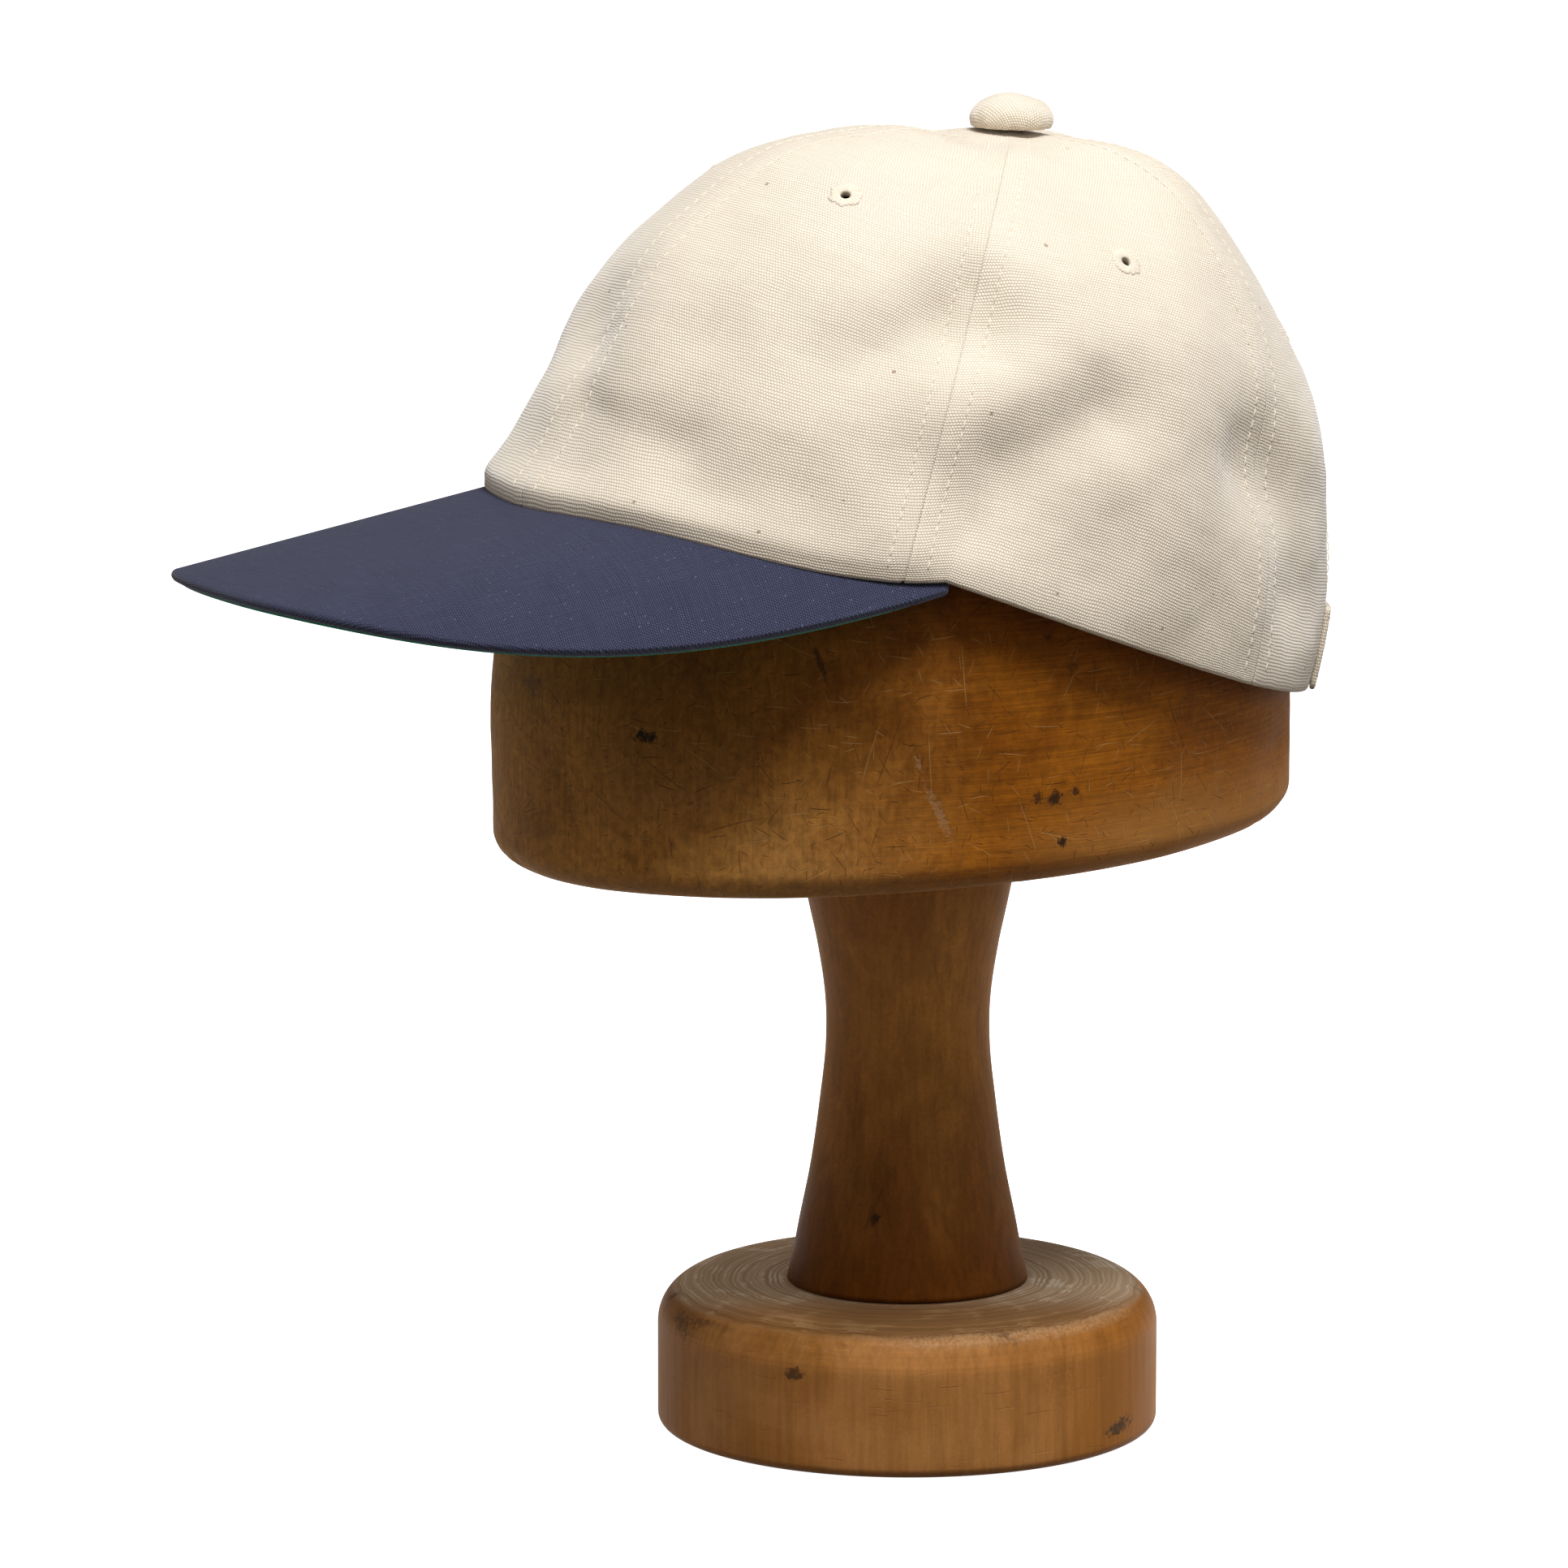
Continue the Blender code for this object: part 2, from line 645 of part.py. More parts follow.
def stand_neck():
    foot = BASE_HEIGHT + CLEARANCE
    length = BLOCK_UNDERSIDE - CLEARANCE - foot
    shares = np.linspace(1, 0, NECK_STEPS + 1)
    radii = NECK_FOOT_RADIUS * smooth_through(NECK_SECTIONS, shares, "radius")
    profile = [(0, foot + length)]
    profile += [(float(r), foot + length * float(share)) for r, share in zip(radii, shares)]
    profile.append((0, foot))
    return turned("stand_neck", profile, ROUND_SIDES, "neck_wood")


def dome_height(cap, shoulder):
    """Height of the block's dome at which the crown's cloth seats on it with the seat's gap."""
    turn, climb = np.meshgrid(np.linspace(-180, 180, SEAT_TRIES), np.linspace(0, 1, SEAT_TRIES))
    turn, climb = turn.ravel(), climb.ravel() * climb_at_tip(turn.ravel())
    cloth = crown_surface(turn, climb, -CLOTH - SEAT_GAP)
    place = np.array(cap.matrix_basis)
    x, y, z = (cloth @ place[:3, :3].T + place[:3, 3]).T
    reach = np.hypot(x / BLOCK_HALF_WIDTH, (y + BLOCK_SET_FORWARD) / BLOCK_HALF_LENGTH)
    over = (reach < 1) & (z > shoulder)
    room = (1 - reach[over] ** BLOCK_DOME_FULLNESS) ** (1 / BLOCK_DOME_FULLNESS)
    return float(np.min((z[over] - shoulder) / room))


def hat_block(cap):
    """An oval block: the round profile is turned, then stretched to the block's length."""
    shoulder = BLOCK_UNDERSIDE + BLOCK_SIDE_HEIGHT
    dome = dome_height(cap, shoulder)
    power = 2 / BLOCK_DOME_FULLNESS
    profile = []
    for step in range(BLOCK_DOME_STEPS + 1):
        angle = math.pi / 2 * step / BLOCK_DOME_STEPS
        profile.append((BLOCK_HALF_WIDTH * math.sin(angle) ** power,
                        shoulder + dome * math.cos(angle) ** power))
    profile += arc((BLOCK_HALF_WIDTH - BLOCK_EDGE_ROUND, BLOCK_UNDERSIDE + BLOCK_EDGE_ROUND),
                   BLOCK_EDGE_ROUND, 0, -90, BLOCK_EDGE_STEPS)
    profile.append((0, BLOCK_UNDERSIDE))
    thing = turned("hat_block", profile, ROUND_SIDES, "block_wood")
    thing.location.y = -BLOCK_SET_FORWARD
    thing.scale.y = BLOCK_HALF_LENGTH / BLOCK_HALF_WIDTH
    return thing


# Assembly

def cap_frame():
    frame = bpy.data.objects.new("cap_frame", None)
    PARTS.objects.link(frame)
    frame.location = (0, -CAP_SET_FORWARD, CAP_EDGE_HEIGHT)
    frame.rotation_euler.x = -CAP_TILT
    return frame


def build_crown(cap):
    seams = (0, SIDE_SEAM_TURN, BACK_SEAM_TURN, 180)
    opening = opening_cutter(cap)
    for place, low, high in zip(("front", "side", "back"), seams, seams[1:]):
        for side, sign in (("left", 1), ("right", -1)):
            label = f"{place}_{side}"
            start, end = sorted((sign * low, sign * high))
            cloth = panel(f"{label}_panel", start, end, cap)
            middle = (start + end) / 2
            eyelet(f"{label}_eyelet", middle, cap)
            cut(cloth, eyelet_hole(f"{label}_hole", middle, cap))
            if place == "back":
                cut(cloth, opening)
    button(cap)


def build_peak(cap):
    visor_sheet("peak", PEAK_CLEARANCE, 0.0, PEAK_THICKNESS, "navy", cap)
    under = PEAK_CLEARANCE + PEAK_THICKNESS + CLEARANCE
    visor_sheet("undervisor", under, UNDERVISOR_INSET, UNDERVISOR_THICKNESS, "green", cap)


clear_scene()
PARTS = new_collection("cap_on_stand")
CUTTERS = new_collection("cutters")
cap_empty = cap_frame()
build_crown(cap_empty)
build_peak(cap_empty)
strap(cap_empty)
buckle(cap_empty)
stand_base()
stand_neck()
hat_block(cap_empty)
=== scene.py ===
"""Looks of a six-panel canvas cap with a long navy peak, resting on a wooden hat stand.

Blender 4.5 script, in metres, +Z up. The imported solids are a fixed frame. Each piece made here stands
for one of them: the same outline, worked out again from the same sizes at a finer grain, with its
seams, stitches, folds, weave and wood.
"""
import math
from collections import namedtuple

import bmesh
import bpy
import numpy as np
from mathutils import Matrix, Vector


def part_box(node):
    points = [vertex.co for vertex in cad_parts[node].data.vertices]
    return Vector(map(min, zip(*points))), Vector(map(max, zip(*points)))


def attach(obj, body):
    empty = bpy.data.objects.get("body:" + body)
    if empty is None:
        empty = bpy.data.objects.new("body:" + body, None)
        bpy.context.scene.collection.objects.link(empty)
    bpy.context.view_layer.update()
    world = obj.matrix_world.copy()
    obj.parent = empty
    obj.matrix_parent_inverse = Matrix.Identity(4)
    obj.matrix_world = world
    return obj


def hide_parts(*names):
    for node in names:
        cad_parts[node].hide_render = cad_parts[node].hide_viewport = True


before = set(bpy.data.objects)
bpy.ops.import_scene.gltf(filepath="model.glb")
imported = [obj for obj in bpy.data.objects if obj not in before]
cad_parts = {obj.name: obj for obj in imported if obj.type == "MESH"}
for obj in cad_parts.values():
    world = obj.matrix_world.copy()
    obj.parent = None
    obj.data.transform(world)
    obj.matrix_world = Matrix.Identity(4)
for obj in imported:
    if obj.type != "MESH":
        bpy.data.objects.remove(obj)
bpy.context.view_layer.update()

MM = 0.001
CLEARANCE = 0.3 * MM
RANDOM_SEED = 11

# Sizes of the stand and the cap, as in the solids
BASE_RADIUS = 58.5 * MM
BASE_HEIGHT = 34.2 * MM
BASE_TOP_ROUND = 10.2 * MM
BASE_FOOT_ROUND = 2.5 * MM
NECK_FOOT_RADIUS = 28.2 * MM
NECK_HEIGHT = 107.1 * MM
BLOCK_UNDERSIDE = BASE_HEIGHT + NECK_HEIGHT
CAP_TILT = math.radians(16.5)
CAP_SET_FORWARD = 0.5 * MM
CAP_EDGE_HEIGHT = BLOCK_UNDERSIDE + 58.5 * MM
CROWN_FRONT = 101.8 * MM
CROWN_BACK = 102.8 * MM
CROWN_HALF_WIDTH = 80.5 * MM
CROWN_HEIGHT = 108.6 * MM
CROWN_TOP_FORWARD = 2.6 * MM
CORE_HEIGHT = CROWN_HEIGHT / 4
CLOTH = 1.6 * MM
SEAM_GAP = 0.05 * MM
SIDE_SEAM_TURN = 62.8
BACK_SEAM_TURN = 121.8
LIP_OUT = 5.6 * MM
LIP_HEIGHT = 10 * MM
FOLD_FADE_HEIGHT = 6 * MM
FOLD_EMPHASIS = 1.35
EDGE_SAG = 5.3 * MM
EDGE_BACK_RISE = 0.8 * MM
TIP_RADIUS = 3.2 * MM
BLOCK_HALF_LENGTH = (CROWN_FRONT + CROWN_BACK) / 2 - CLOTH - 1.9 * MM
BLOCK_HALF_WIDTH = CROWN_HALF_WIDTH - CLOTH - 6.4 * MM
BLOCK_SET_FORWARD = 3.9 * MM
BLOCK_EDGE_ROUND = 6.5 * MM
BLOCK_SIDE_HEIGHT = 34 * MM
BLOCK_DOME_FULLNESS = 1.95
BLOCK_DOME_LOWERED = 2 * MM
BLOCK_SWELL = 0.22 * MM
BLOCK_GRAIN = 0.03 * MM
NICK_DEPTH = 0.7 * MM
NEAR_AXIS = 0.05 * MM
UNDERSIDE_SLOPE = math.tan(math.radians(1.4))
EYELET_CLIMB = 0.49
EYELET_RADIUS = 3.75 * MM
EYELET_BORE = 1.15 * MM
EYELET_NECK = 1.9 * MM
EYELET_THICKNESS = 0.32 * MM
EYELET_RIDGE = 0.13 * MM
EYELET_FOOT = -0.5 * MM
BUTTON_RADIUS = 9.8 * MM
BUTTON_HEIGHT = 8.0 * MM
BUTTON_WAIST = 0.26
BUTTON_UNDER_RADIUS = 8.9 * MM
BUTTON_STEM_LENGTH = 2.2 * MM
BUTTON_STEM_PLAY = 0.6 * MM
BUTTON_LEVELLED = math.radians(3)
BUTTON_LIFT = 0.4 * MM
BUTTON_GATHER = 0.13 * MM
PEAK_TURN = 68.3
PEAK_REACH = 75.4 * MM
PEAK_RISE = -4.5 * MM
PEAK_SLOPE = math.radians(25.2)
PEAK_DROP = 32.9 * MM
PEAK_ARCH = 2.94
PEAK_FULLNESS = 2.6
PEAK_CORNER_OUT = 0.4 * MM
PEAK_TUCK = 3.0 * MM
PEAK_THICKNESS = 2.2 * MM
PEAK_CLEARANCE = 0.6 * MM
UNDERVISOR_THICKNESS = 1.0 * MM
UNDERVISOR_INSET = 1.2 * MM
OPENING_HALF_WIDTH = 34 * MM
OPENING_HEIGHT = 46 * MM
STRAP_WIDTH = 18 * MM
STRAP_THICKNESS = 1.4 * MM
STRAP_OVERLAP = 9 * MM
STRAP_ABOVE_EDGE = 1.0 * MM
BUCKLE_ASIDE = -12 * MM
BUCKLE_LENGTH = 19 * MM
BUCKLE_BAR = 2.2 * MM
BUCKLE_THICKNESS = 1.2 * MM
BUCKLE_ROUND = 0.42 * MM
BUCKLE_PLAY = 0.6 * MM
BUCKLE_SIDE_PLAY = 1.2 * MM

Section = namedtuple("Section", "turn side_fullness top_fullness")
CROWN_SECTIONS = (
    Section(0, 2.68, 1.52),
    Section(60, 2.45, 1.68),
    Section(90, 2.70, 1.60),
    Section(120, 2.35, 2.30),
    Section(180, 2.25, 1.85),
)

Fold = namedtuple("Fold", "turn_a climb_a turn_b climb_b width depth")
FOLDS = (
    Fold(73, 0.12, 87, 0.22, 0.115, 0.040),
    Fold(121, 0.25, 117, 0.24, 0.13, 0.042),
    Fold(51, 0.27, 61, 0.40, 0.072, 0.015),
    Fold(62, 0.31, 65, 0.32, 0.12, 0.050),
    Fold(28, 0.21, 58, 0.20, 0.12, 0.012),
    Fold(-7, 0.19, -5, 0.17, 0.13, 0.030),
    Fold(4, 0.08, 26, 0.07, 0.06, 0.010),
    Fold(69, 0.05, 61, 0.11, 0.09, 0.016),
    Fold(89, 0.09, 80, 0.07, 0.12, 0.016),
    Fold(130, 0.11, 130, 0.20, 0.13, 0.024),
    Fold(109, 0.06, 114, 0.12, 0.12, 0.006),
    Fold(-30, 0.10, -58, 0.20, 0.11, 0.026),
    Fold(-84, 0.16, -104, 0.34, 0.11, 0.030),
    Fold(-132, 0.16, -138, 0.30, 0.11, 0.026),
    Fold(-40, 0.82, 40, 0.82, 0.10, 0.020),
    Fold(-130, 0.78, 130, 0.78, 0.17, -0.026),
    Fold(-20, 0.53, 20, 0.53, 0.15, -0.018),
    Fold(0, 0.99, 180, 0.99, 0.17, 0.012),
)

NeckSection = namedtuple("NeckSection", "height radius")
NECK_SECTIONS = (
    NeckSection(0.00, 1.00),
    NeckSection(0.06, 0.95),
    NeckSection(0.13, 0.90),
    NeckSection(0.25, 0.81),
    NeckSection(0.40, 0.73),
    NeckSection(0.53, 0.68),
    NeckSection(0.61, 0.68),
    NeckSection(0.75, 0.75),
    NeckSection(0.85, 0.83),
    NeckSection(1.00, 0.94),
)

# Sewing
STITCH_FROM_SEAM = 4.7 * MM
STITCH_PITCH = 2.8 * MM
STITCH_LENGTH = 2.1 * MM
STITCH_RADIUS = 0.18 * MM
SEAM_WELT = 0.16 * MM
SEAM_CREASE = 0.10 * MM
SEAM_BULGE = 0.11
CREASE_REACH = 0.45 * MM
WELT_PAST_STITCH = 0.6 * MM
WELT_EDGE = 0.5 * MM
GROOVE_REACH = 0.55 * MM
STITCH_SINK = 0.12 * MM
LIP_TUCK = 1.8 * MM
LIP_TUCK_HEIGHT = 2.6 * MM
HEM_RADIUS = 1.15 * MM
OPENING_ROW_OUT = 4.5 * MM
ROW_OVER_STRAP = 3 * MM
ROW_OVER_OPENING = 6 * MM
STRAP_ROW_INSET = 2.2 * MM

# Light
TENT_ABOVE = 0.37
TENT_BELOW = 0.14

# Camera, fitted to the photo's outlines
IMAGE_SIDE = 1932
CAMERA_TURN = math.radians(59.21)
CAMERA_LIFT = math.radians(10.64)
CAMERA_DISTANCE = 2.6
CAMERA_ASIDE = -28.9 * MM
CAMERA_TARGET_HEIGHT = 151.8 * MM
METRES_PER_PIXEL = 0.1887 * MM
SENSOR = 36.0


# Shape helpers

def smooth_through(rows, share, column, level_ends=False):
    """A table's column on a smooth curve through its rows, at each share of its first column."""
    stops = np.array([row[0] for row in rows], float)
    values = np.array([getattr(row, column) for row in rows], float)
    slopes = np.gradient(values, stops)
    if level_ends:
        slopes[[0, -1]] = 0
    low = np.clip(np.searchsorted(stops, share, side="right") - 1, 0, len(stops) - 2)
    width = stops[low + 1] - stops[low]
    step = (share - stops[low]) / width
    eased = values[low] + (values[low + 1] - values[low]) * step * step * (3 - 2 * step)
    lean = slopes[low] * (1 - step) - slopes[low + 1] * step
    return eased + width * step * (1 - step) * lean


def unit(vectors):
    return vectors / np.maximum(np.linalg.norm(vectors, axis=-1, keepdims=True), 1e-12)


def run_length(points):
    """Length along a row of points, from the first to each."""
    return np.concatenate([[0], np.cumsum(np.linalg.norm(np.diff(points, axis=0), axis=1))])


def between(at, stops, rows):
    """A table's row of three numbers, read between its stops."""
    return np.array([np.interp(at, stops, rows[:, k]) for k in range(3)])


def signed_turn(turn):
    """A turn past the middle of the back, counted from the other side."""
    return np.where(turn > 180, turn - 360, turn)


class Ripples:
    """A smooth random field: a sum of plane waves of about one wavelength, the same each run."""

    def __init__(self, wavelength, seed, waves=22):
        draw = np.random.default_rng(RANDOM_SEED + seed)
        self.direction = unit(draw.normal(size=(waves, 3)))
        self.pace = 2 * math.pi / (wavelength * draw.uniform(0.7, 1.5, waves))
        self.phase = draw.uniform(0, 2 * math.pi, waves)
        self.scale = math.sqrt(2 / waves)

    def at(self, points):
        angle = (points @ self.direction.T) * self.pace + self.phase
        return np.sin(angle).sum(axis=-1) * self.scale


def crown_fullness(turn):
    away = np.abs(turn)
    side = smooth_through(CROWN_SECTIONS, away, "side_fullness", level_ends=True)
    top = smooth_through(CROWN_SECTIONS, away, "top_fullness", level_ends=True)
    return side, top


def oval(turn):
    angle = np.radians(turn)
    half_length = np.where(np.cos(angle) > 0, CROWN_FRONT, CROWN_BACK)
    return CROWN_HALF_WIDTH * np.sin(angle), -half_length * np.cos(angle)


def lip_at(turn):
    share = np.clip(np.abs(turn) / PEAK_TURN, 0, 1)
    return LIP_OUT * (1 - share ** 3)


def edge_plan(turn, inward=0.0):
    x, y = oval(turn)
    scale = 1 + (lip_at(turn) - inward) / np.hypot(x, y)
    return x * scale, y * scale


def peak_height(x, y):
    forward = -y - CROWN_FRONT - LIP_OUT
    arch = PEAK_DROP * (np.abs(x) / CROWN_HALF_WIDTH) ** PEAK_ARCH
    return PEAK_RISE - math.tan(PEAK_SLOPE) * forward - arch


def edge_height(turn):
    on_peak = peak_height(*edge_plan(turn, CLOTH))
    corner = peak_height(*edge_plan(np.array(PEAK_TURN), CLOTH))
    share = np.clip((np.abs(turn) - PEAK_TURN) / (180 - PEAK_TURN), 0, 1)
    fading = corner * (1 - share) ** 2 * (1 + 2 * share)
    rising = EDGE_BACK_RISE * share * share * (3 - 2 * share)
    behind = fading + rising - EDGE_SAG * np.sin(math.pi * share) * (1 - share ** 4)
    return np.where(np.abs(turn) < PEAK_TURN, on_peak, behind)


def climb_at_height(turn, height):
    share = np.clip(height / (CROWN_HEIGHT - edge_height(turn)), 0, 1)
    side, _ = crown_fullness(turn)
    return np.arcsin(share ** (side / 2)) / (math.pi / 2)


def climb_at_tip(turn, radius=TIP_RADIUS):
    x, y = oval(turn)
    _, top = crown_fullness(turn)
    return np.arccos((radius / np.hypot(x, y)) ** (top / 2)) / (math.pi / 2)


def smooth_crown(turn, climb):
    side, top = crown_fullness(turn)
    x, y = oval(turn)
    low = edge_height(turn)
    out = np.cos(climb * math.pi / 2) ** (2 / top)
    up = (CROWN_HEIGHT - low) * np.sin(climb * math.pi / 2) ** (2 / side)
    roll = 1 + lip_at(turn) / np.hypot(x, y) * np.exp(-(up / LIP_HEIGHT) ** 2) / out
    return np.stack([x * out * roll, y * out * roll - CROWN_TOP_FORWARD * (1 - out), low + up], axis=-1)


def fold_depth(points):
    depth = np.zeros(points.shape[:-1])
    for fold in FOLDS:
        turns = np.array([fold.turn_a, fold.turn_b], float)
        ends = smooth_crown(turns, np.array([fold.climb_a, fold.climb_b]))
        run = ends[1] - ends[0]
        along = np.clip((points - ends[0]) @ run / (run @ run), 0, 1)
        away = np.linalg.norm(points - ends[0] - along[..., None] * run, axis=-1)
        depth += fold.depth * CROWN_HEIGHT * np.exp(-(away / (fold.width * CROWN_HEIGHT)) ** 2)
    return depth


def crown_surface(turn, climb, outward=0.0):
    points = smooth_crown(turn, climb)
    above_edge = points[..., 2] - edge_height(turn)
    fade = 1 - np.exp(-(above_edge / FOLD_FADE_HEIGHT) ** 2)
    hollow = FOLD_EMPHASIS * fold_depth(points) * fade
    direction = unit(points - np.array([0, 0, CORE_HEIGHT]))
    return points + direction * (outward - hollow)[..., None]


def seam_inset(turn, climb):
    angle = np.radians(turn)
    _, top = crown_fullness(np.full_like(climb, turn))
    out = np.cos(climb * math.pi / 2) ** (2 / top)
    per_radian = math.hypot(CROWN_HALF_WIDTH * math.cos(angle), CROWN_FRONT * math.sin(angle))
    return np.degrees(SEAM_GAP / 2 / (per_radian * out))


def frame_at(place, aside, outward):
    """Matrix of a place: +X aside, +Y up, +Z out."""
    axes = Matrix((aside, outward.cross(aside), outward)).transposed().to_4x4()
    return Matrix.Translation(place) @ axes


def frame_on(face):
    """Frame of a place on a face, which gives points for small steps aside and up."""
    step = 2 * MM
    aside = np.array([0, step, -step, 0, 0])
    up = np.array([0, 0, 0, step, -step])
    place, right, left, above, below = [Vector(point.tolist()) for point in face(aside, up)]
    level = (right - left).normalized()
    return frame_at(place, level, level.cross(above - below).normalized())


def button_frame():
    """Frame of the button: it leans as the cloth under its rim does, and clears the panels' tips."""
    turns = np.array([0.0, 90.0, 180.0, -90.0])
    rim = crown_surface(turns, climb_at_tip(turns, BUTTON_UNDER_RADIUS))
    front, left, back, right = [Vector(point.tolist()) for point in rim]
    aside = (left - right).normalized()
    outward = aside.cross(back - front).normalized()
    middle = Vector(crown_surface(turns, climb_at_tip(turns)).mean(axis=0).tolist())
    ring = np.linspace(-180, 180, 60)
    under = np.concatenate([crown_surface(ring, climb_at_tip(ring, radius))
                            for radius in np.linspace(TIP_RADIUS, BUTTON_UNDER_RADIUS, 6)])
    rise = max((under - np.array(middle)) @ np.array(outward))
    return frame_at(middle + outward * (rise + CLEARANCE), aside, outward)


# Mesh helpers

CAP_TURN = Matrix.Rotation(-CAP_TILT, 4, "X")
CAP_PLACE = Matrix.Translation((0, -CAP_SET_FORWARD, CAP_EDGE_HEIGHT)) @ CAP_TURN


def new_object(name, data):
    thing = bpy.data.objects.new(name, data)
    bpy.context.scene.collection.objects.link(thing)
    return thing


def shell_object(name, shell):
    """Object from a shell, which is freed."""
    mesh = bpy.data.meshes.new(name)
    shell.to_mesh(mesh)
    shell.free()
    return new_object(name, mesh)


def mesh_object(name, points, faces, uv, finish, place=CAP_PLACE):
    """Smooth object, faced outward, from points and faces, with one UV pair a point in millimetres."""
    mesh = bpy.data.meshes.new(name)
    mesh.from_pydata(np.reshape(points, (-1, 3)).tolist(), [], faces)
    layer = mesh.uv_layers.new(name="weave")
    corner = np.zeros(len(mesh.loops), np.int32)
    mesh.loops.foreach_get("vertex_index", corner)
    layer.data.foreach_set("uv", np.reshape(uv, (-1, 2)).astype(np.float32)[corner].ravel())
    mesh.shade_smooth()
    mesh.transform(place)
    mesh.materials.append(finish)
    shell = bmesh.new()
    shell.from_mesh(mesh)
    bmesh.ops.recalc_face_normals(shell, faces=shell.faces)
    shell.to_mesh(mesh)
    shell.free()
    return new_object(name, mesh)


def tube_faces(rows, sides, first=0, closed=False):
    """Faces of rings of points, with two caps or with the last ring joined to the first."""
    number = first + np.arange(rows * sides).reshape(rows, sides)
    if closed:
        number = np.concatenate([number, number[:1]])
    after = np.roll(number, -1, axis=1)
    faces = np.stack([number[:-1], number[1:], after[1:], after[:-1]], axis=-1).reshape(-1, 4).tolist()
    return faces if closed else faces + [number[0].tolist(), number[-1, ::-1].tolist()]


def grid_faces(rows, columns, first=0, flipped=False):
    number = first + np.arange(rows * columns).reshape(rows, columns)
    quads = np.stack([number[:-1, :-1], number[:-1, 1:], number[1:, 1:], number[1:, :-1]], axis=-1)
    quads = quads.reshape(-1, 4)
    return (quads[:, ::-1] if flipped else quads).tolist()


def grid_normals(points, core):
    """Unit normals of a grid of points, pointing away from a core point."""
    normal = unit(np.cross(np.gradient(points, axis=1), np.gradient(points, axis=0)))
    sign = np.sign(((points - core) * normal).sum(axis=-1, keepdims=True).mean())
    return normal * sign


def border(grid):
    """The outer rows and columns of a grid, as one loop without repeats."""
    return np.concatenate([grid[0, :-1], grid[:-1, -1], grid[-1, :0:-1], grid[:0:-1, 0]])


def cloth_sheet(name, outer, uv, thickness, core, finish, rim_steps=5, side_bulge=1.0):
    """Closed sheet of cloth under a grid of points, with round edges, flatter ones at its sides."""
    rows, columns = outer.shape[:2]
    normal = grid_normals(outer, core)
    inner = outer - normal * thickness
    top_loop, low_loop, normal_loop = border(outer), border(inner), border(normal)
    down, across = np.gradient(outer, axis=0), np.gradient(outer, axis=1)
    outward = unit(-np.concatenate([down[0, :-1], -across[:-1, -1], -down[-1, :0:-1], across[:0:-1, 0]]))
    uv_loop = border(uv)
    counts = [columns - 1, rows - 1] * 2
    uv_out = np.repeat([(0, -1), (1, 0), (0, 1), (-1, 0)], counts, axis=0)
    fullness = np.repeat([1.0, side_bulge] * 2, counts)[:, None]
    points = [outer.reshape(-1, 3), inner.reshape(-1, 3)]
    uvs = [uv.reshape(-1, 2), uv.reshape(-1, 2)]
    middle = (top_loop + low_loop) / 2
    for step in range(1, rim_steps):
        angle = math.pi * step / rim_steps
        bulge = normal_loop * math.cos(angle) + outward * math.sin(angle) * fullness
        points.append(middle + bulge * thickness / 2)
        uvs.append(uv_loop + uv_out * angle * thickness / 2 / MM)
    number = np.arange(rows * columns).reshape(rows, columns)
    loops = [border(number)]
    size = len(top_loop)
    loops += [2 * rows * columns + step * size + np.arange(size) for step in range(rim_steps - 1)]
    loops.append(border(number) + rows * columns)
    rim = []
    for upper, lower in zip(loops, loops[1:]):
        rim.append(np.stack([upper, lower, np.roll(lower, -1), np.roll(upper, -1)], axis=-1))
    faces = grid_faces(rows, columns) + grid_faces(rows, columns, rows * columns, True)
    faces += np.concatenate(rim).tolist()
    return mesh_object(name, np.concatenate(points), faces, np.concatenate(uvs), finish)


def turned(name, profile, sides, finish, stretch=1.0, shift=0.0, ripple=None):
    """Solid of revolution from (radius, height) points down its outer side, stretched along Y."""
    profile = np.array(profile)
    radius, height = profile[:, :1], profile[:, 1:]
    angle = circle(sides)[None, :]
    points = np.stack([radius * np.cos(angle), radius * np.sin(angle) * stretch,
                       np.repeat(height, sides, axis=1)], axis=-1)
    if ripple is not None:
        points = points + unit(points * np.array([1, 1, 0])) * ripple(points)[..., None]
    points = points + np.array([0, shift, 0])
    rows = len(profile)
    length = run_length(profile)
    uv = np.stack([np.repeat(angle, rows, axis=0) * float(radius.max()) / MM,
                   np.repeat(length[:, None], sides, axis=1) / MM], axis=-1)
    return mesh_object(name, points, tube_faces(rows, sides), uv, finish, Matrix())


def circle(steps):
    return np.linspace(0, 2 * math.pi, steps, endpoint=False)


def quarter(steps):
    """Sine and cosine of each step of a quarter turn, without its start."""
    angles = [math.pi / 2 * step / steps for step in range(1, steps + 1)]
    return [(math.sin(angle), math.cos(angle)) for angle in angles]


def arc(centre, radius, start, end, steps):
    angles = [math.radians(start + (end - start) * step / steps) for step in range(steps + 1)]
    return [(centre[0] + radius * math.cos(a), centre[1] + radius * math.sin(a)) for a in angles]


def line(start, end, steps, with_first=False):
    """Points on a straight run between two profile points."""
    first = 0 if with_first else 1
    return [tuple(np.add(start, np.subtract(end, start) * step / steps)) for step in range(first, steps + 1)]


def cut_with(thing, cutter):
    boolean = thing.modifiers.new("cut", "BOOLEAN")
    boolean.operation = "DIFFERENCE"
    boolean.solver = "EXACT"
    boolean.object = cutter
    bake(thing)
    bpy.data.objects.remove(cutter)


def bake(thing):
    """Turns an object's modifiers into its mesh."""
    graph = bpy.context.evaluated_depsgraph_get()
    mesh = bpy.data.meshes.new_from_object(thing.evaluated_get(graph))
    thing.modifiers.clear()
    thing.data = mesh


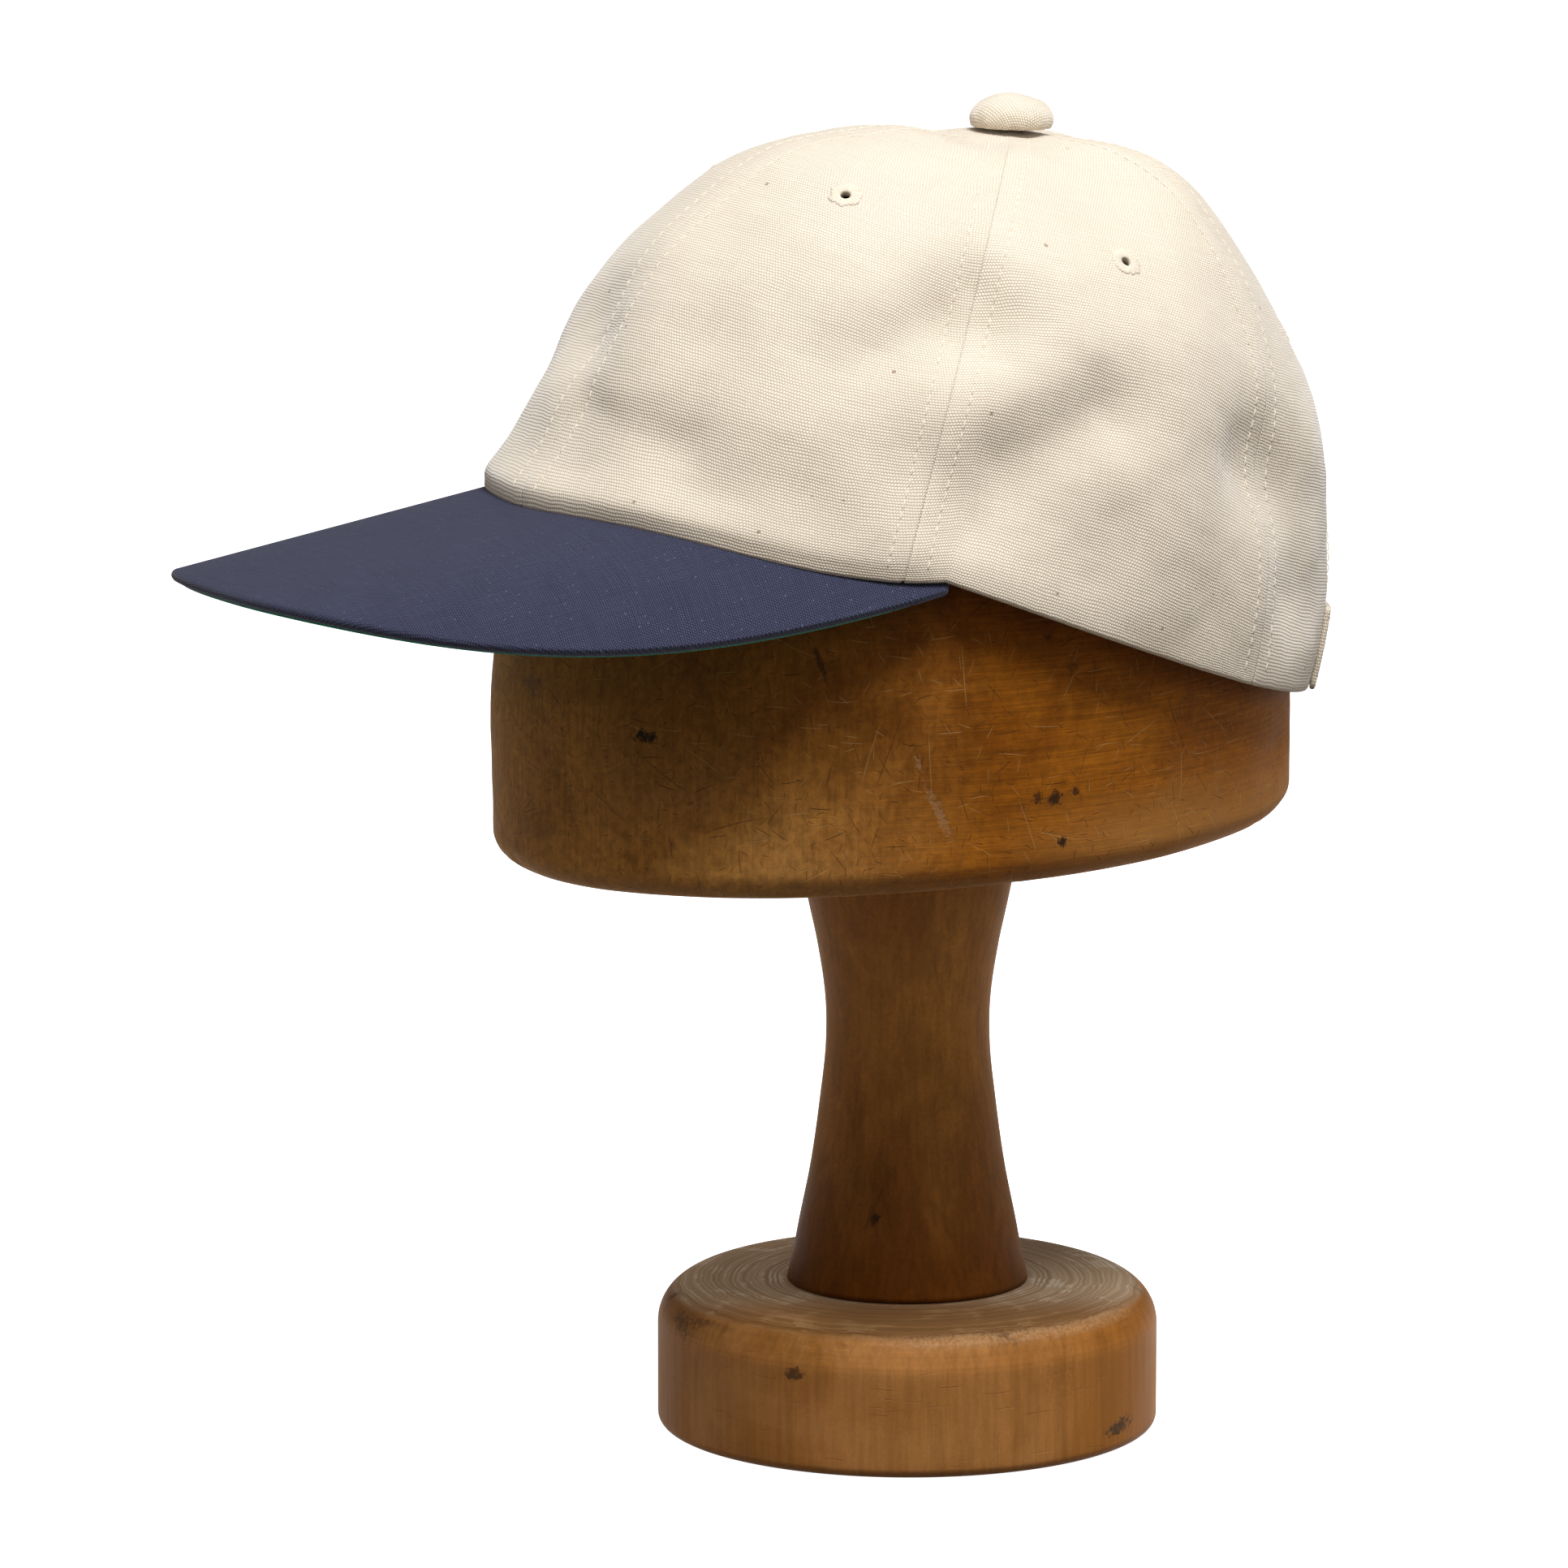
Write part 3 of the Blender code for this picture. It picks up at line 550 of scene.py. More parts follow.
def cone_cutter(name, sides, place):
    bar = bmesh.new()
    bmesh.ops.create_cone(bar, cap_ends=True, segments=sides, radius1=1, radius2=1, depth=1)
    bar.transform(place)
    return shell_object(name, bar)


def finish_piece(piece, slot, *nodes):
    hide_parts(*nodes)
    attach(piece, "root")


# Materials

# painted shade of the holes that stitch ends sink into
HOLE_SHADE = (0.50, 0.39, 0.27)


class Nodes:
    """The shader nodes of a material or a world; its methods give back the sockets that they make."""

    def __init__(self, owner, shader):
        owner.use_nodes = True
        self.owner, self.tree = owner, owner.node_tree
        self.shader = self.tree.nodes[shader]

    def add(self, kind, inputs=None, **settings):
        """Outputs of a new node with its settings and inputs; an input that is a socket is linked."""
        made = self.tree.nodes.new("ShaderNode" + kind)
        for key, value in settings.items():
            setattr(made, key, value)
        for key, value in (inputs or {}).items():
            if isinstance(value, bpy.types.NodeSocket):
                self.tree.links.new(value, made.inputs[key])
            else:
                made.inputs[key].default_value = value
        return made.outputs

    def put(self, name, value):
        self.tree.links.new(value, self.shader.inputs[name])

    def math(self, operation, *values):
        return self.add("Math", dict(enumerate(values)), operation=operation)[0]

    def plus(self, first, second):
        return self.math("ADD", first, second)

    def minus(self, first, second):
        return self.math("SUBTRACT", first, second)

    def times(self, first, second):
        return self.math("MULTIPLY", first, second)

    def absolute(self, value):
        return self.math("ABSOLUTE", value)

    def vector(self, operation, first, second=(0, 0, 0)):
        made = self.add("VectorMath", {0: first, 1: second}, operation=operation)
        return made["Value" if operation in ("LENGTH", "DOT_PRODUCT") else "Vector"]

    def scaled(self, vector, scale):
        return self.vector("MULTIPLY", vector, scale)

    def split(self, vector):
        return self.add("SeparateXYZ", {0: vector})

    def join(self, x=0.0, y=0.0, z=0.0):
        return self.add("CombineXYZ", {0: x, 1: y, 2: z})[0]

    def noise(self, vector, scale=1.0, detail=2.0, roughness=0.5, distortion=0.0):
        inputs = {"Vector": vector, "Scale": scale, "Detail": detail, "Roughness": roughness,
                  "Distortion": distortion}
        return self.add("TexNoise", inputs, noise_dimensions="3D")["Fac"]

    def cells(self, vector, spacing):
        return self.add("TexVoronoi", {"Vector": vector, "Scale": 1 / spacing}, voronoi_dimensions="2D")

    def ramp(self, value, low, high, start=0.0, end=1.0):
        """A value's smooth step from low to high, as start to end."""
        inputs = {"Value": value, "From Min": low, "From Max": high, "To Min": start, "To Max": end}
        return self.add("MapRange", inputs, interpolation_type="SMOOTHSTEP")["Result"]

    def blend(self, factor, first, second, mode="MIX"):
        """Mix of two colours, each a socket or three numbers."""
        first, second = [value if isinstance(value, bpy.types.NodeSocket) else (*value, 1)
                         for value in (first, second)]
        return self.add("Mix", {0: factor, 6: first, 7: second}, data_type="RGBA", blend_type=mode)[2]

    def valued(self, tint, *changes):
        """A colour made darker or lighter by fields; a row is field, low, high, darker, lighter."""
        for field, *row in changes:
            value = self.ramp(field, *row)
            tint = self.add("HueSaturation", {"Color": tint, "Value": value})[0]
        return tint

    def relief(self, height, distance, strength):
        self.put("Normal", self.add("Bump", {"Height": height, "Distance": distance,
                                             "Strength": strength})[0])


def new_material(name, roughness, sheen=0.0, specular=0.5):
    n = Nodes(bpy.data.materials.new(name), "Principled BSDF")
    for key, value in (("Roughness", roughness), ("Specular IOR Level", specular),
                       ("Sheen Weight", sheen), ("Sheen Roughness", 0.5)):
        n.shader.inputs[key].default_value = value
    return n


def woven(name, colour, shade, across, along, relief, roughness, sheen, flecks_and_glints=None, thread_change=0.1):
    """Plain-weave cloth on a piece's millimetre UVs: bumps in rows, gaps in painted shade, uneven threads,
    and specks: seeds on the canvas, painted glints on the navy.
    """
    n = new_material(name, roughness, sheen, 0.15)
    where = n.add("UVMap", uv_map="weave")[0]
    wander = n.times(n.minus(n.noise(where, 0.12), 0.5), 1.2)
    u, v, _ = n.split(where)
    wave_u = n.math("COSINE", n.times(n.plus(u, wander), 2 * math.pi / across))
    wave_v = n.math("COSINE", n.times(n.plus(v, wander), math.pi / along))
    dots, rows = n.times(wave_u, wave_v), n.absolute(wave_v)
    weft = n.noise(n.scaled(where, (0.07, 1 / along, 1)))
    warp = n.noise(n.scaled(where, (2 / across, 0.07, 1)))
    threads = n.plus(weft, warp)
    height = n.plus(n.plus(n.times(dots, 0.4), n.times(rows, 0.6)), n.times(threads, 0.18))
    # painted shade: the gaps between the threads take the darker shade colour
    tint = n.blend(n.ramp(height, 0.25, 1.0), shade, colour)
    tint = n.valued(tint, (threads, 0.7, 1.3, 1 - thread_change, 1 + thread_change),
                    (n.noise(where, 0.03, 3), 0.3, 0.7, 0.98, 1.02))
    # specks: brown seeds on the canvas; on the navy, pale specks painted as glints on the weave
    if flecks_and_glints:
        spacing, radius, share, fleck_and_glint_colour = flecks_and_glints
        cells = n.cells(where, spacing)
        chance, largeness, _ = n.split(cells["Color"])
        inside = n.math("LESS_THAN", cells["Distance"], n.times(largeness, radius / spacing))
        mask = n.times(inside, n.math("GREATER_THAN", chance, 1 - share))
        tint = n.blend(n.times(mask, 0.7), tint, fleck_and_glint_colour)
    n.put("Base Color", tint)
    n.relief(height, relief, 1.0)
    return n.owner


def plain_thread(name, colour):
    """Cotton thread; along a stitch its UV runs from -1 to 1, and its ends take the painted shade of their
    holes.
    """
    n = new_material(name, 0.85, 0.2, 0.15)
    fibre = n.noise(n.add("TexCoord")["Object"], 2200.0, 3)
    tint = n.blend(n.ramp(fibre, 0.3, 0.7), [c * 0.82 for c in colour], colour)
    along = n.split(n.add("UVMap", uv_map="weave")[0])[0]
    # painted shade: each stitch's ends turn to the dark colour of its holes
    n.put("Base Color", n.blend(n.ramp(n.absolute(along), 0.72, 1.0), tint, HOLE_SHADE))
    n.relief(fibre, 0.1 * MM, 0.6)
    return n.owner


def worn_brass(name, colour, dull):
    n = new_material(name, 0.35)
    n.shader.inputs["Metallic"].default_value = 1.0
    where = n.add("TexCoord")["Object"]
    patina = n.noise(where, 260.0, 4)
    n.put("Base Color", n.blend(n.ramp(patina, 0.4, 0.65), colour, dull))
    n.put("Roughness", n.ramp(patina, 0.35, 0.7, 0.25, 0.5))
    n.relief(n.noise(n.scaled(where, (4000, 300, 300))), 0.03 * MM, 0.4)
    return n.owner


# Wood

TINTS = {"black": (0.012, 0.007, 0.004), "dark": (0.045, 0.018, 0.005), "pale": (0.34, 0.20, 0.10),
         "blue": (0.035, 0.045, 0.045), "amber": (0.20, 0.070, 0.008), "tan": (0.30, 0.165, 0.075),
         "straw": (0.42, 0.25, 0.095)}

# Scratches: one at most in each cell of a pattern, level or at any angle, in millimetres
Scratches = namedtuple("Scratches", "cell half_length half_width share strength tint level")
BLOCK_SCRATCHES = (
    Scratches(3.4, 1.4, 0.18, 0.50, 0.50, "dark", False),
    Scratches(5.5, 2.2, 0.16, 0.50, 0.46, "straw", False),
    Scratches(9.0, 4.0, 0.20, 0.45, 0.55, "dark", False),
    Scratches(11.0, 4.6, 0.17, 0.45, 0.45, "straw", True),
    Scratches(19.0, 8.5, 0.20, 0.50, 0.46, "straw", False),
    Scratches(26.0, 12.0, 0.24, 0.45, 0.52, "dark", False),
)
NECK_SCRATCHES = (Scratches(14.0, 6.0, 0.16, 0.45, 0.20, "tan", True),
                  Scratches(9.0, 3.5, 0.16, 0.35, 0.25, "dark", False))
BASE_SCRATCHES = (Scratches(13.0, 5.5, 0.16, 0.45, 0.22, "dark", True),
                  Scratches(10.0, 4.0, 0.16, 0.40, 0.22, "pale", True))

# Single stains, knots and cracks, in millimetres
Mark = namedtuple("Mark", "start end width strength tint")
BLOCK_MARKS = (
    Mark((27.7, -94.7, 178.3), (38.5, -87.2, 177.2), 0.5, 0.8, "black"),
    Mark((32.3, -91.9, 177.2), (36.3, -89.3, 176.9), 1.1, 1.0, "black"),
    Mark((72.3, -6.5, 160.6), (72.5, -4.5, 160.5), 1.1, 0.9, "black"),
    Mark((72.2, -10.4, 161.2), (72.2, -9.2, 161.1), 0.9, 0.75, "black"),
    Mark((72.4, -1.6, 161.7), (72.2, 1.4, 162.0), 0.7, 0.8, "black"),
    Mark((72.5, -3.8, 150.2), (72.4, -2.6, 150.3), 1.0, 0.95, "black"),
    Mark((71.5, -7.1, 197.8), (71.6, -5.6, 197.9), 0.8, 0.8, "black"),
    Mark((71.8, -1.4, 190.5), (71.7, 0.7, 190.3), 1.0, 0.45, "dark"),
    Mark((-7.1, -101.9, 174.4), (7.8, -101.8, 172.0), 0.55, 0.8, "dark"),
    Mark((-6.1, -101.9, 175.2), (8.4, -101.6, 172.9), 0.4, 0.5, "pale"),
    Mark((19.0, -98.1, 189.7), (31.0, -92.8, 168.7), 0.35, 0.6, "dark"),
    Mark((57.8, -60.5, 199.6), (60.1, -57.5, 187.7), 0.5, 0.65, "black"),
    Mark((67.2, -40.3, 175.1), (68.1, -37.6, 167.6), 0.6, 0.5, "pale"),
    Mark((68.1, -37.6, 167.6), (69.5, -30.5, 152.2), 0.7, 0.5, "pale"),
    Mark((68.2, -30.7, 144.1), (70.0, -28.0, 150.5), 0.8, 0.7, "amber"),
    Mark((-21.1, -97.8, 182.0), (-14.0, -100.0, 182.5), 2.2, 0.4, "blue"),
    Mark((-0.9, -102.1, 185.5), (6.6, -101.5, 184.4), 1.8, 0.5, "blue"),
    Mark((15.8, -100.0, 167.0), (16.9, -99.6, 150.3), 1.6, 0.35, "dark"),
    Mark((13.9, -100.8, 176.4), (14.5, -100.5, 176.5), 0.5, 0.9, "black"),
)
BASE_MARKS = (
    Mark((-14.0, -55.4, 30.2), (-1.5, -58.2, 27.2), 2.3, 0.75, "dark"),
    Mark((-6.0, -57.2, 29.2), (8.0, -55.0, 29.9), 1.1, 0.5, "dark"),
    Mark((-23.1, -50.9, 30.5), (-20.4, -50.7, 31.8), 1.2, 0.7, "dark"),
    Mark((29.3, -50.7, 23.4), (32.6, -48.3, 23.5), 1.0, 0.75, "black"),
    Mark((54.7, 20.7, 5.2), (50.1, 30.0, 6.9), 1.1, 0.85, "black"),
    Mark((52.3, -8.5, 33.0), (55.7, -5.1, 30.4), 1.8, 0.5, "dark"),
    Mark((30.7, 42.9, 33.0), (33.0, 45.3, 30.3), 1.8, 0.6, "blue"),
    Mark((55.9, 3.6, 30.3), (57.9, 6.8, 16.9), 5.0, 0.4, "amber"),
)
NECK_MARKS = (
    Mark((15.7, -10.9, 93.4), (19.3, -0.4, 88.7), 0.5, 0.6, "pale"),
    Mark((17.4, -6.0, 92.6), (18.6, -2.5, 88.9), 0.4, 0.7, "dark"),
    Mark((15.4, -19.2, 51.9), (16.2, -17.9, 54.6), 0.7, 0.8, "black"),
    Mark((16.1, -16.1, 61.3), (13.8, -21.3, 47.9), 0.5, 0.35, "dark"),
)


def unrolled(n, where, reach):
    """Millimetres along the outline and up, for a wooden piece whose side lies this far out."""
    x, y, z = n.split(where)
    return n.join(n.plus(y, n.times(n.minus(reach, x), n.math("SIGN", y))), z)


def scratch_mask(n, flat, row, shift):
    """Mask of thin, slightly bent scratches."""
    moved = n.vector("ADD", flat, (shift, 2.7 * shift, 0))
    cells = n.cells(moved, row.cell)
    turning, bending, chance = n.split(cells["Color"])
    angle = n.times(n.minus(turning, 0.5), 0.25 if row.level else 2 * math.pi)
    offset = n.vector("SUBTRACT", moved, cells["Position"])
    local = n.add("VectorRotate", {"Vector": offset, "Angle": angle}, rotation_type="Z_AXIS")[0]
    along, across, _ = n.split(local)
    bow = n.times(n.times(along, along), n.times(n.minus(bending, 0.5), 0.18 / row.half_length))
    line_share = n.ramp(n.absolute(n.plus(across, bow)), row.half_width, row.half_width * 0.25)
    ends = n.ramp(n.absolute(along), row.half_length, row.half_length * 0.4)
    return n.times(n.times(line_share, ends), n.math("GREATER_THAN", chance, 1 - row.share))


def scratched(n, flat, tint, rows):
    """A colour with layers of scratches over it, and how deep they cut."""
    depth = 0.0
    for index, row in enumerate(rows):
        mask = n.times(scratch_mask(n, flat, row, 31.7 * (index + 1)), row.strength)
        tint = n.blend(mask, tint, TINTS[row.tint])
        depth = n.plus(depth, mask)
    return tint, depth


def marked(n, where, tint, marks):
    """A colour with single marks over it, and how deep they cut."""
    depth = 0.0
    ragged = n.times(n.minus(n.noise(where, 0.9, 4, 0.6), 0.5), 2.2)
    for mark in marks:
        start, end = Vector(mark.start), Vector(mark.end)
        inputs = {"Vector": where, "Location": (start + end) / 2,
                  "Rotation": (end - start).to_track_quat("X", "Z").to_euler(),
                  "Scale": ((end - start).length / 2 + mark.width, mark.width, mark.width * 2)}
        reach = n.vector("LENGTH", n.add("Mapping", inputs, vector_type="TEXTURE")[0])
        inner = 0.45 if mark.width < 1.3 else 0.0
        mask = n.ramp(n.plus(reach, ragged), 1.0, inner, 0.0, mark.strength)
        tint = n.blend(mask, tint, TINTS[mark.tint])
        if mark.width < 2 and mark.tint in ("black", "dark", "pale"):
            depth = n.plus(depth, mask)
    return tint, depth


def new_wood(name, roughness, specular):
    n = new_material(name, roughness, 0.12, specular)
    n.shader.inputs["Sheen Tint"].default_value = (1.0, 0.62, 0.30, 1)
    return n, n.scaled(n.add("TexCoord")["Object"], [1 / MM] * 3)


def finish_wood(n, tint, height, cuts, clouds, roughness):
    n.put("Base Color", tint)
    n.put("Roughness", n.ramp(clouds, 0.35, 0.65, roughness - 0.05, roughness + 0.08))
    n.relief(n.minus(height, cuts), 0.22 * MM, 0.7)
    return n.owner


def block_wood(name):
    """Old oval block: mottled end grain in front, fine level lines and warmer wood along its side, with
    painted shade under the cap's edge and painted light below it on its near side.
    """
    n, where = new_wood(name, 0.62, 0.03)
    flat = unrolled(n, where, BLOCK_HALF_WIDTH / MM)
    x, y, z = n.split(where)
    run, rise, _ = n.split(flat)
    broad = n.noise(where, 0.016, 3, 0.5, 0.5)
    clouds = n.noise(where, 0.055, 5, 0.6, 0.7)
    mottle = n.noise(where, 0.42, 5, 0.68, 0.4)
    fibres = n.noise(n.scaled(where, (1.3, 1.3, 0.10)), 0.8, 4, 0.6)
    front = n.blend(n.ramp(clouds, 0.34, 0.66), (0.290, 0.120, 0.022), (0.480, 0.220, 0.052))
    front = n.blend(n.ramp(broad, 0.45, 0.62, 0.0, 0.40), front, (0.44, 0.23, 0.075))
    front = n.valued(front, (mottle, 0.32, 0.68, 0.80, 1.20), (fibres, 0.32, 0.68, 0.88, 1.12))
    lines = n.noise(n.scaled(where, (0.05, 0.035, 1.5)), 1.0, 3, 0.55)
    fine = n.noise(n.scaled(where, (0.16, 0.10, 4.2)), 1.0, 3, 0.6)
    side = n.blend(n.ramp(clouds, 0.36, 0.64), (0.225, 0.066, 0.002), (0.300, 0.096, 0.005))
    side = n.valued(side, (lines, 0.36, 0.64, 0.86, 1.12), (fine, 0.34, 0.66, 0.86, 1.14),
                    (mottle, 0.30, 0.70, 0.86, 1.12))
    turned_in = n.ramp(n.plus(y, n.times(broad, 40.0)), -52.0, 4.0)
    tint = n.blend(turned_in, front, side)
    near_side = n.ramp(x, -40.0, 20.0)
    # painted shadow: a dark band on the near side just under the cap's edge, where the brim's shade falls
    belt_at, belt_rise = n.plus(run, n.times(clouds, 50.0)), n.plus(rise, n.times(clouds, 24.0))
    painted_brim_shadow = n.times(n.ramp(belt_at, -150.0, -80.0), n.ramp(belt_at, 35.0, -35.0))
    painted_brim_shadow = n.times(n.times(painted_brim_shadow, n.ramp(belt_rise, 156.0, 196.0)), near_side)
    tint = n.blend(painted_brim_shadow, tint, (0.50, 0.42, 0.25), "MULTIPLY")
    # painted light: below that shadow the near side is made paler towards the underside
    painted_light_low = n.times(n.ramp(belt_rise, 176.0, 160.0, 0.0, 0.55), n.ramp(run, -35.0, 25.0))
    tint = n.blend(n.times(painted_light_low, near_side), tint, (0.400, 0.185, 0.048))
    tint, cuts = scratched(n, flat, tint, BLOCK_SCRATCHES)
    tint, holes = marked(n, where, tint, BLOCK_MARKS)
    worn_edge = n.ramp(n.plus(z, n.times(mottle, 7.0)), 149.5, 144.5, 0.0, 0.42)
    tint = n.blend(worn_edge, tint, (0.30, 0.165, 0.062))
    level = n.times(n.plus(lines, fine), turned_in)
    height = n.plus(n.times(mottle, 0.7), n.times(level, 0.45))
    return finish_wood(n, tint, height, n.plus(n.times(cuts, 0.6), holes), clouds, 0.62)


def neck_wood(name):
    """Turned neck: quiet brown wood with long faint grain, and painted shade that darkens it towards its
    foot.
    """
    n, where = new_wood(name, 0.60, 0.05)
    clouds = n.noise(n.scaled(where, (1, 1, 0.45)), 0.05, 4, 0.55, 0.8)
    grain = n.noise(n.scaled(where, (1, 1, 0.06)), 0.75, 4, 0.6)
    arches = n.noise(n.scaled(where, (0.6, 0.6, 0.25)), 0.22, 2, 0.5, 1.6)
    speckle = n.noise(where, 1.1, 4, 0.65)
    tint = n.blend(n.ramp(clouds, 0.36, 0.66), (0.340, 0.135, 0.022), (0.480, 0.210, 0.046))
    tint = n.valued(tint, (grain, 0.34, 0.66, 0.90, 1.10), (arches, 0.40, 0.60, 0.93, 1.07),
                    (speckle, 0.32, 0.68, 0.92, 1.08))
    # painted shade: the neck is darkened towards its foot, where it meets the base
    foot = n.ramp(n.split(where)[2], (BASE_HEIGHT + 0.55 * NECK_HEIGHT) / MM + 15, BASE_HEIGHT / MM - 4)
    tint = n.blend(foot, tint, (0.24, 0.155, 0.035), "MULTIPLY")
    flat = unrolled(n, where, 0.8 * NECK_FOOT_RADIUS / MM)
    tint, cuts = scratched(n, flat, tint, NECK_SCRATCHES)
    tint, holes = marked(n, where, tint, NECK_MARKS)
    height = n.plus(n.times(grain, 0.25), n.times(speckle, 0.15))
    return finish_wood(n, tint, height, n.plus(cuts, holes), clouds, 0.60)


def base_wood(name):
    """Turned foot: warm side with brown drips; fine rings on a top painted greyer as a reflection, with wavy
    pale streaks that are partly painted highlights; painted light, shade and a highlight on the top and rim,
    and a painted shadow along the foot.
    """
    n, where = new_wood(name, 0.58, 0.06)
    x, y, z = n.split(where)
    clouds = n.noise(where, 0.035, 4, 0.55, 0.7)
    grain = n.noise(n.scaled(where, (1, 1, 0.07)), 0.55, 4, 0.6)
    speckle = n.noise(where, 1.3, 4, 0.65)
    side = n.blend(n.ramp(clouds, 0.38, 0.64), (0.325, 0.128, 0.026), (0.440, 0.190, 0.052))
    warm = n.ramp(n.plus(y, n.times(clouds, 20.0)), 5.0, 38.0, 0.0, 0.75)
    side = n.blend(warm, side, (0.300, 0.098, 0.005))
    side = n.valued(side, (grain, 0.36, 0.64, 0.90, 1.08), (speckle, 0.32, 0.68, 0.95, 1.05))
    drips = n.noise(n.scaled(where, (1, 1, 0.05)), 0.16, 3, 0.55, 0.6)
    side = n.blend(n.ramp(drips, 0.60, 0.70, 0.0, 0.45), side, TINTS["amber"])
    distance = n.vector("LENGTH", n.scaled(where, (1, 1, 0)))
    waver = n.noise(where, 0.10, 3, 0.55, 1.0)
    rings = n.noise(n.join(n.plus(distance, n.times(waver, 2.6))), 0.85, 4, 0.6)
    # painted reflection: the top is coloured greyer, as the haze of the bright surroundings reflected on it
    top = n.blend(n.ramp(rings, 0.38, 0.62), (0.310, 0.200, 0.110), (0.500, 0.370, 0.250))
    # wavy pale streaks along the rings: partly pale scratches, partly a painted highlight of the turned
    # rings
    top = n.blend(n.ramp(n.times(rings, waver), 0.27, 0.36, 0.0, 0.7), top, (0.66, 0.55, 0.42))
    # painted: the top's part toward the camera is made darker brown, leaving out the painted grey reflection
    # there
    near = n.ramp(n.vector("DOT_PRODUCT", where, (0.857, -0.515, 0)), 6.0, 38.0)
    top = n.blend(near, top, (0.42, 0.28, 0.15), "MULTIPLY")
    # painted light: the top's left part is made up to 1.8 times lighter, against the shadow that the neck
    # and block cast there
    top = n.valued(top, (n.vector("DOT_PRODUCT", where, (0.512, 0.859, 0)), -8.0, -36.0, 1.0, 1.8))
    on_top = n.ramp(z, (BASE_HEIGHT - 0.32 * BASE_TOP_ROUND) / MM, BASE_HEIGHT / MM - 0.8)
    tint = n.blend(on_top, side, top)
    turning = n.times(n.noise(n.join(z=z), 1.0, 4), n.ramp(z, 21.0, 25.0))
    # turning marks, then painted shade: the side darkens towards its upper rim, which faces the lamp
    tint = n.valued(tint, (turning, 0.35, 0.65, 0.96, 1.07), (z, 24.0, 31.0, 1.0, 0.74))
    # painted highlight: a broken pale streak on the rounded rim, on the side toward the lamp
    painted_rim_highlight = n.times(n.ramp(z, 29.6, 31.4), n.ramp(z, 33.4, 32.0))
    broken = n.times(painted_rim_highlight, n.ramp(speckle, 0.40, 0.60, 0.10, 0.45))
    tint = n.blend(n.times(n.ramp(x, 38.0, 52.0), broken), tint, (0.42, 0.27, 0.15))
    flat = unrolled(n, where, BASE_RADIUS / MM)
    tint, cuts = scratched(n, flat, tint, BASE_SCRATCHES)
    tint, holes = marked(n, where, tint, BASE_MARKS)
    # painted shadow: a thin dark line along the bottom, where the base meets the floor
    tint = n.valued(tint, (z, 0.2, 2.4, 0.35, 1.0))
    height = n.plus(n.times(grain, 0.15), n.times(n.times(rings, on_top), 0.5))
    return finish_wood(n, tint, height, n.plus(cuts, holes), clouds, 0.58)


def make_materials():
    # ecru and a darker copy of it, painted as shade in the weave's gaps
    ecru, ecru_shade = (0.83, 0.745, 0.63), (0.53, 0.445, 0.335)
    fleck = (7.5, 0.55, 0.07, (0.20, 0.11, 0.05))
    return {
        "canvas": woven("canvas", ecru, ecru_shade, 0.68, 0.72, 0.12 * MM, 0.92, 0.5, fleck, 0.02),
        # the navy's pale specks are painted glints
        "navy": woven("navy", (0.050, 0.053, 0.098), (0.012, 0.013, 0.030), 0.62, 0.55, 0.11 * MM, 0.9,
                      0.08, (2.2, 0.22, 0.4, (0.10, 0.105, 0.165)), 0.1),
        "green": woven("green", (0.020, 0.36, 0.25), (0.008, 0.20, 0.13), 0.62, 0.55, 0.07 * MM, 0.9,
                       0.2, None, 0.05),
        "thread": plain_thread("thread", (0.80, 0.71, 0.59)),
        "eyelet": plain_thread("eyelet", (0.70, 0.615, 0.50)),
        "metal": worn_brass("metal", (0.62, 0.48, 0.25), (0.30, 0.22, 0.12)),
        "block_wood": block_wood("block_wood"),
        "neck_wood": neck_wood("neck_wood"),
        "base_wood": base_wood("base_wood"),
    }


# Crown

WRINKLES = ((34 * MM, 0.30 * MM, 1), (17 * MM, 0.12 * MM, 2), (8 * MM, 0.035 * MM, 3))
RIPPLE_FIELDS = [(Ripples(length, seed), height) for length, height, seed in WRINKLES]
CORE = np.array([0, 0, CORE_HEIGHT])


def wrinkles_at(points):
    return sum(field.at(points) * height for field, height in RIPPLE_FIELDS)


def seam_relief(distance, width):
    """How far the cloth stands out at a distance from a seam: crease, welt and stitched groove."""
    share = np.clip(width / (6 * STITCH_FROM_SEAM), 0, 1)
    crease = -SEAM_CREASE * np.exp(-(distance / CREASE_REACH) ** 2)
    welt = SEAM_WELT / (1 + np.exp((distance - STITCH_FROM_SEAM - WELT_PAST_STITCH) / WELT_EDGE))
    groove = -STITCH_SINK * np.exp(-((distance - STITCH_FROM_SEAM) / GROOVE_REACH) ** 2)
    return (crease + welt + groove) * share


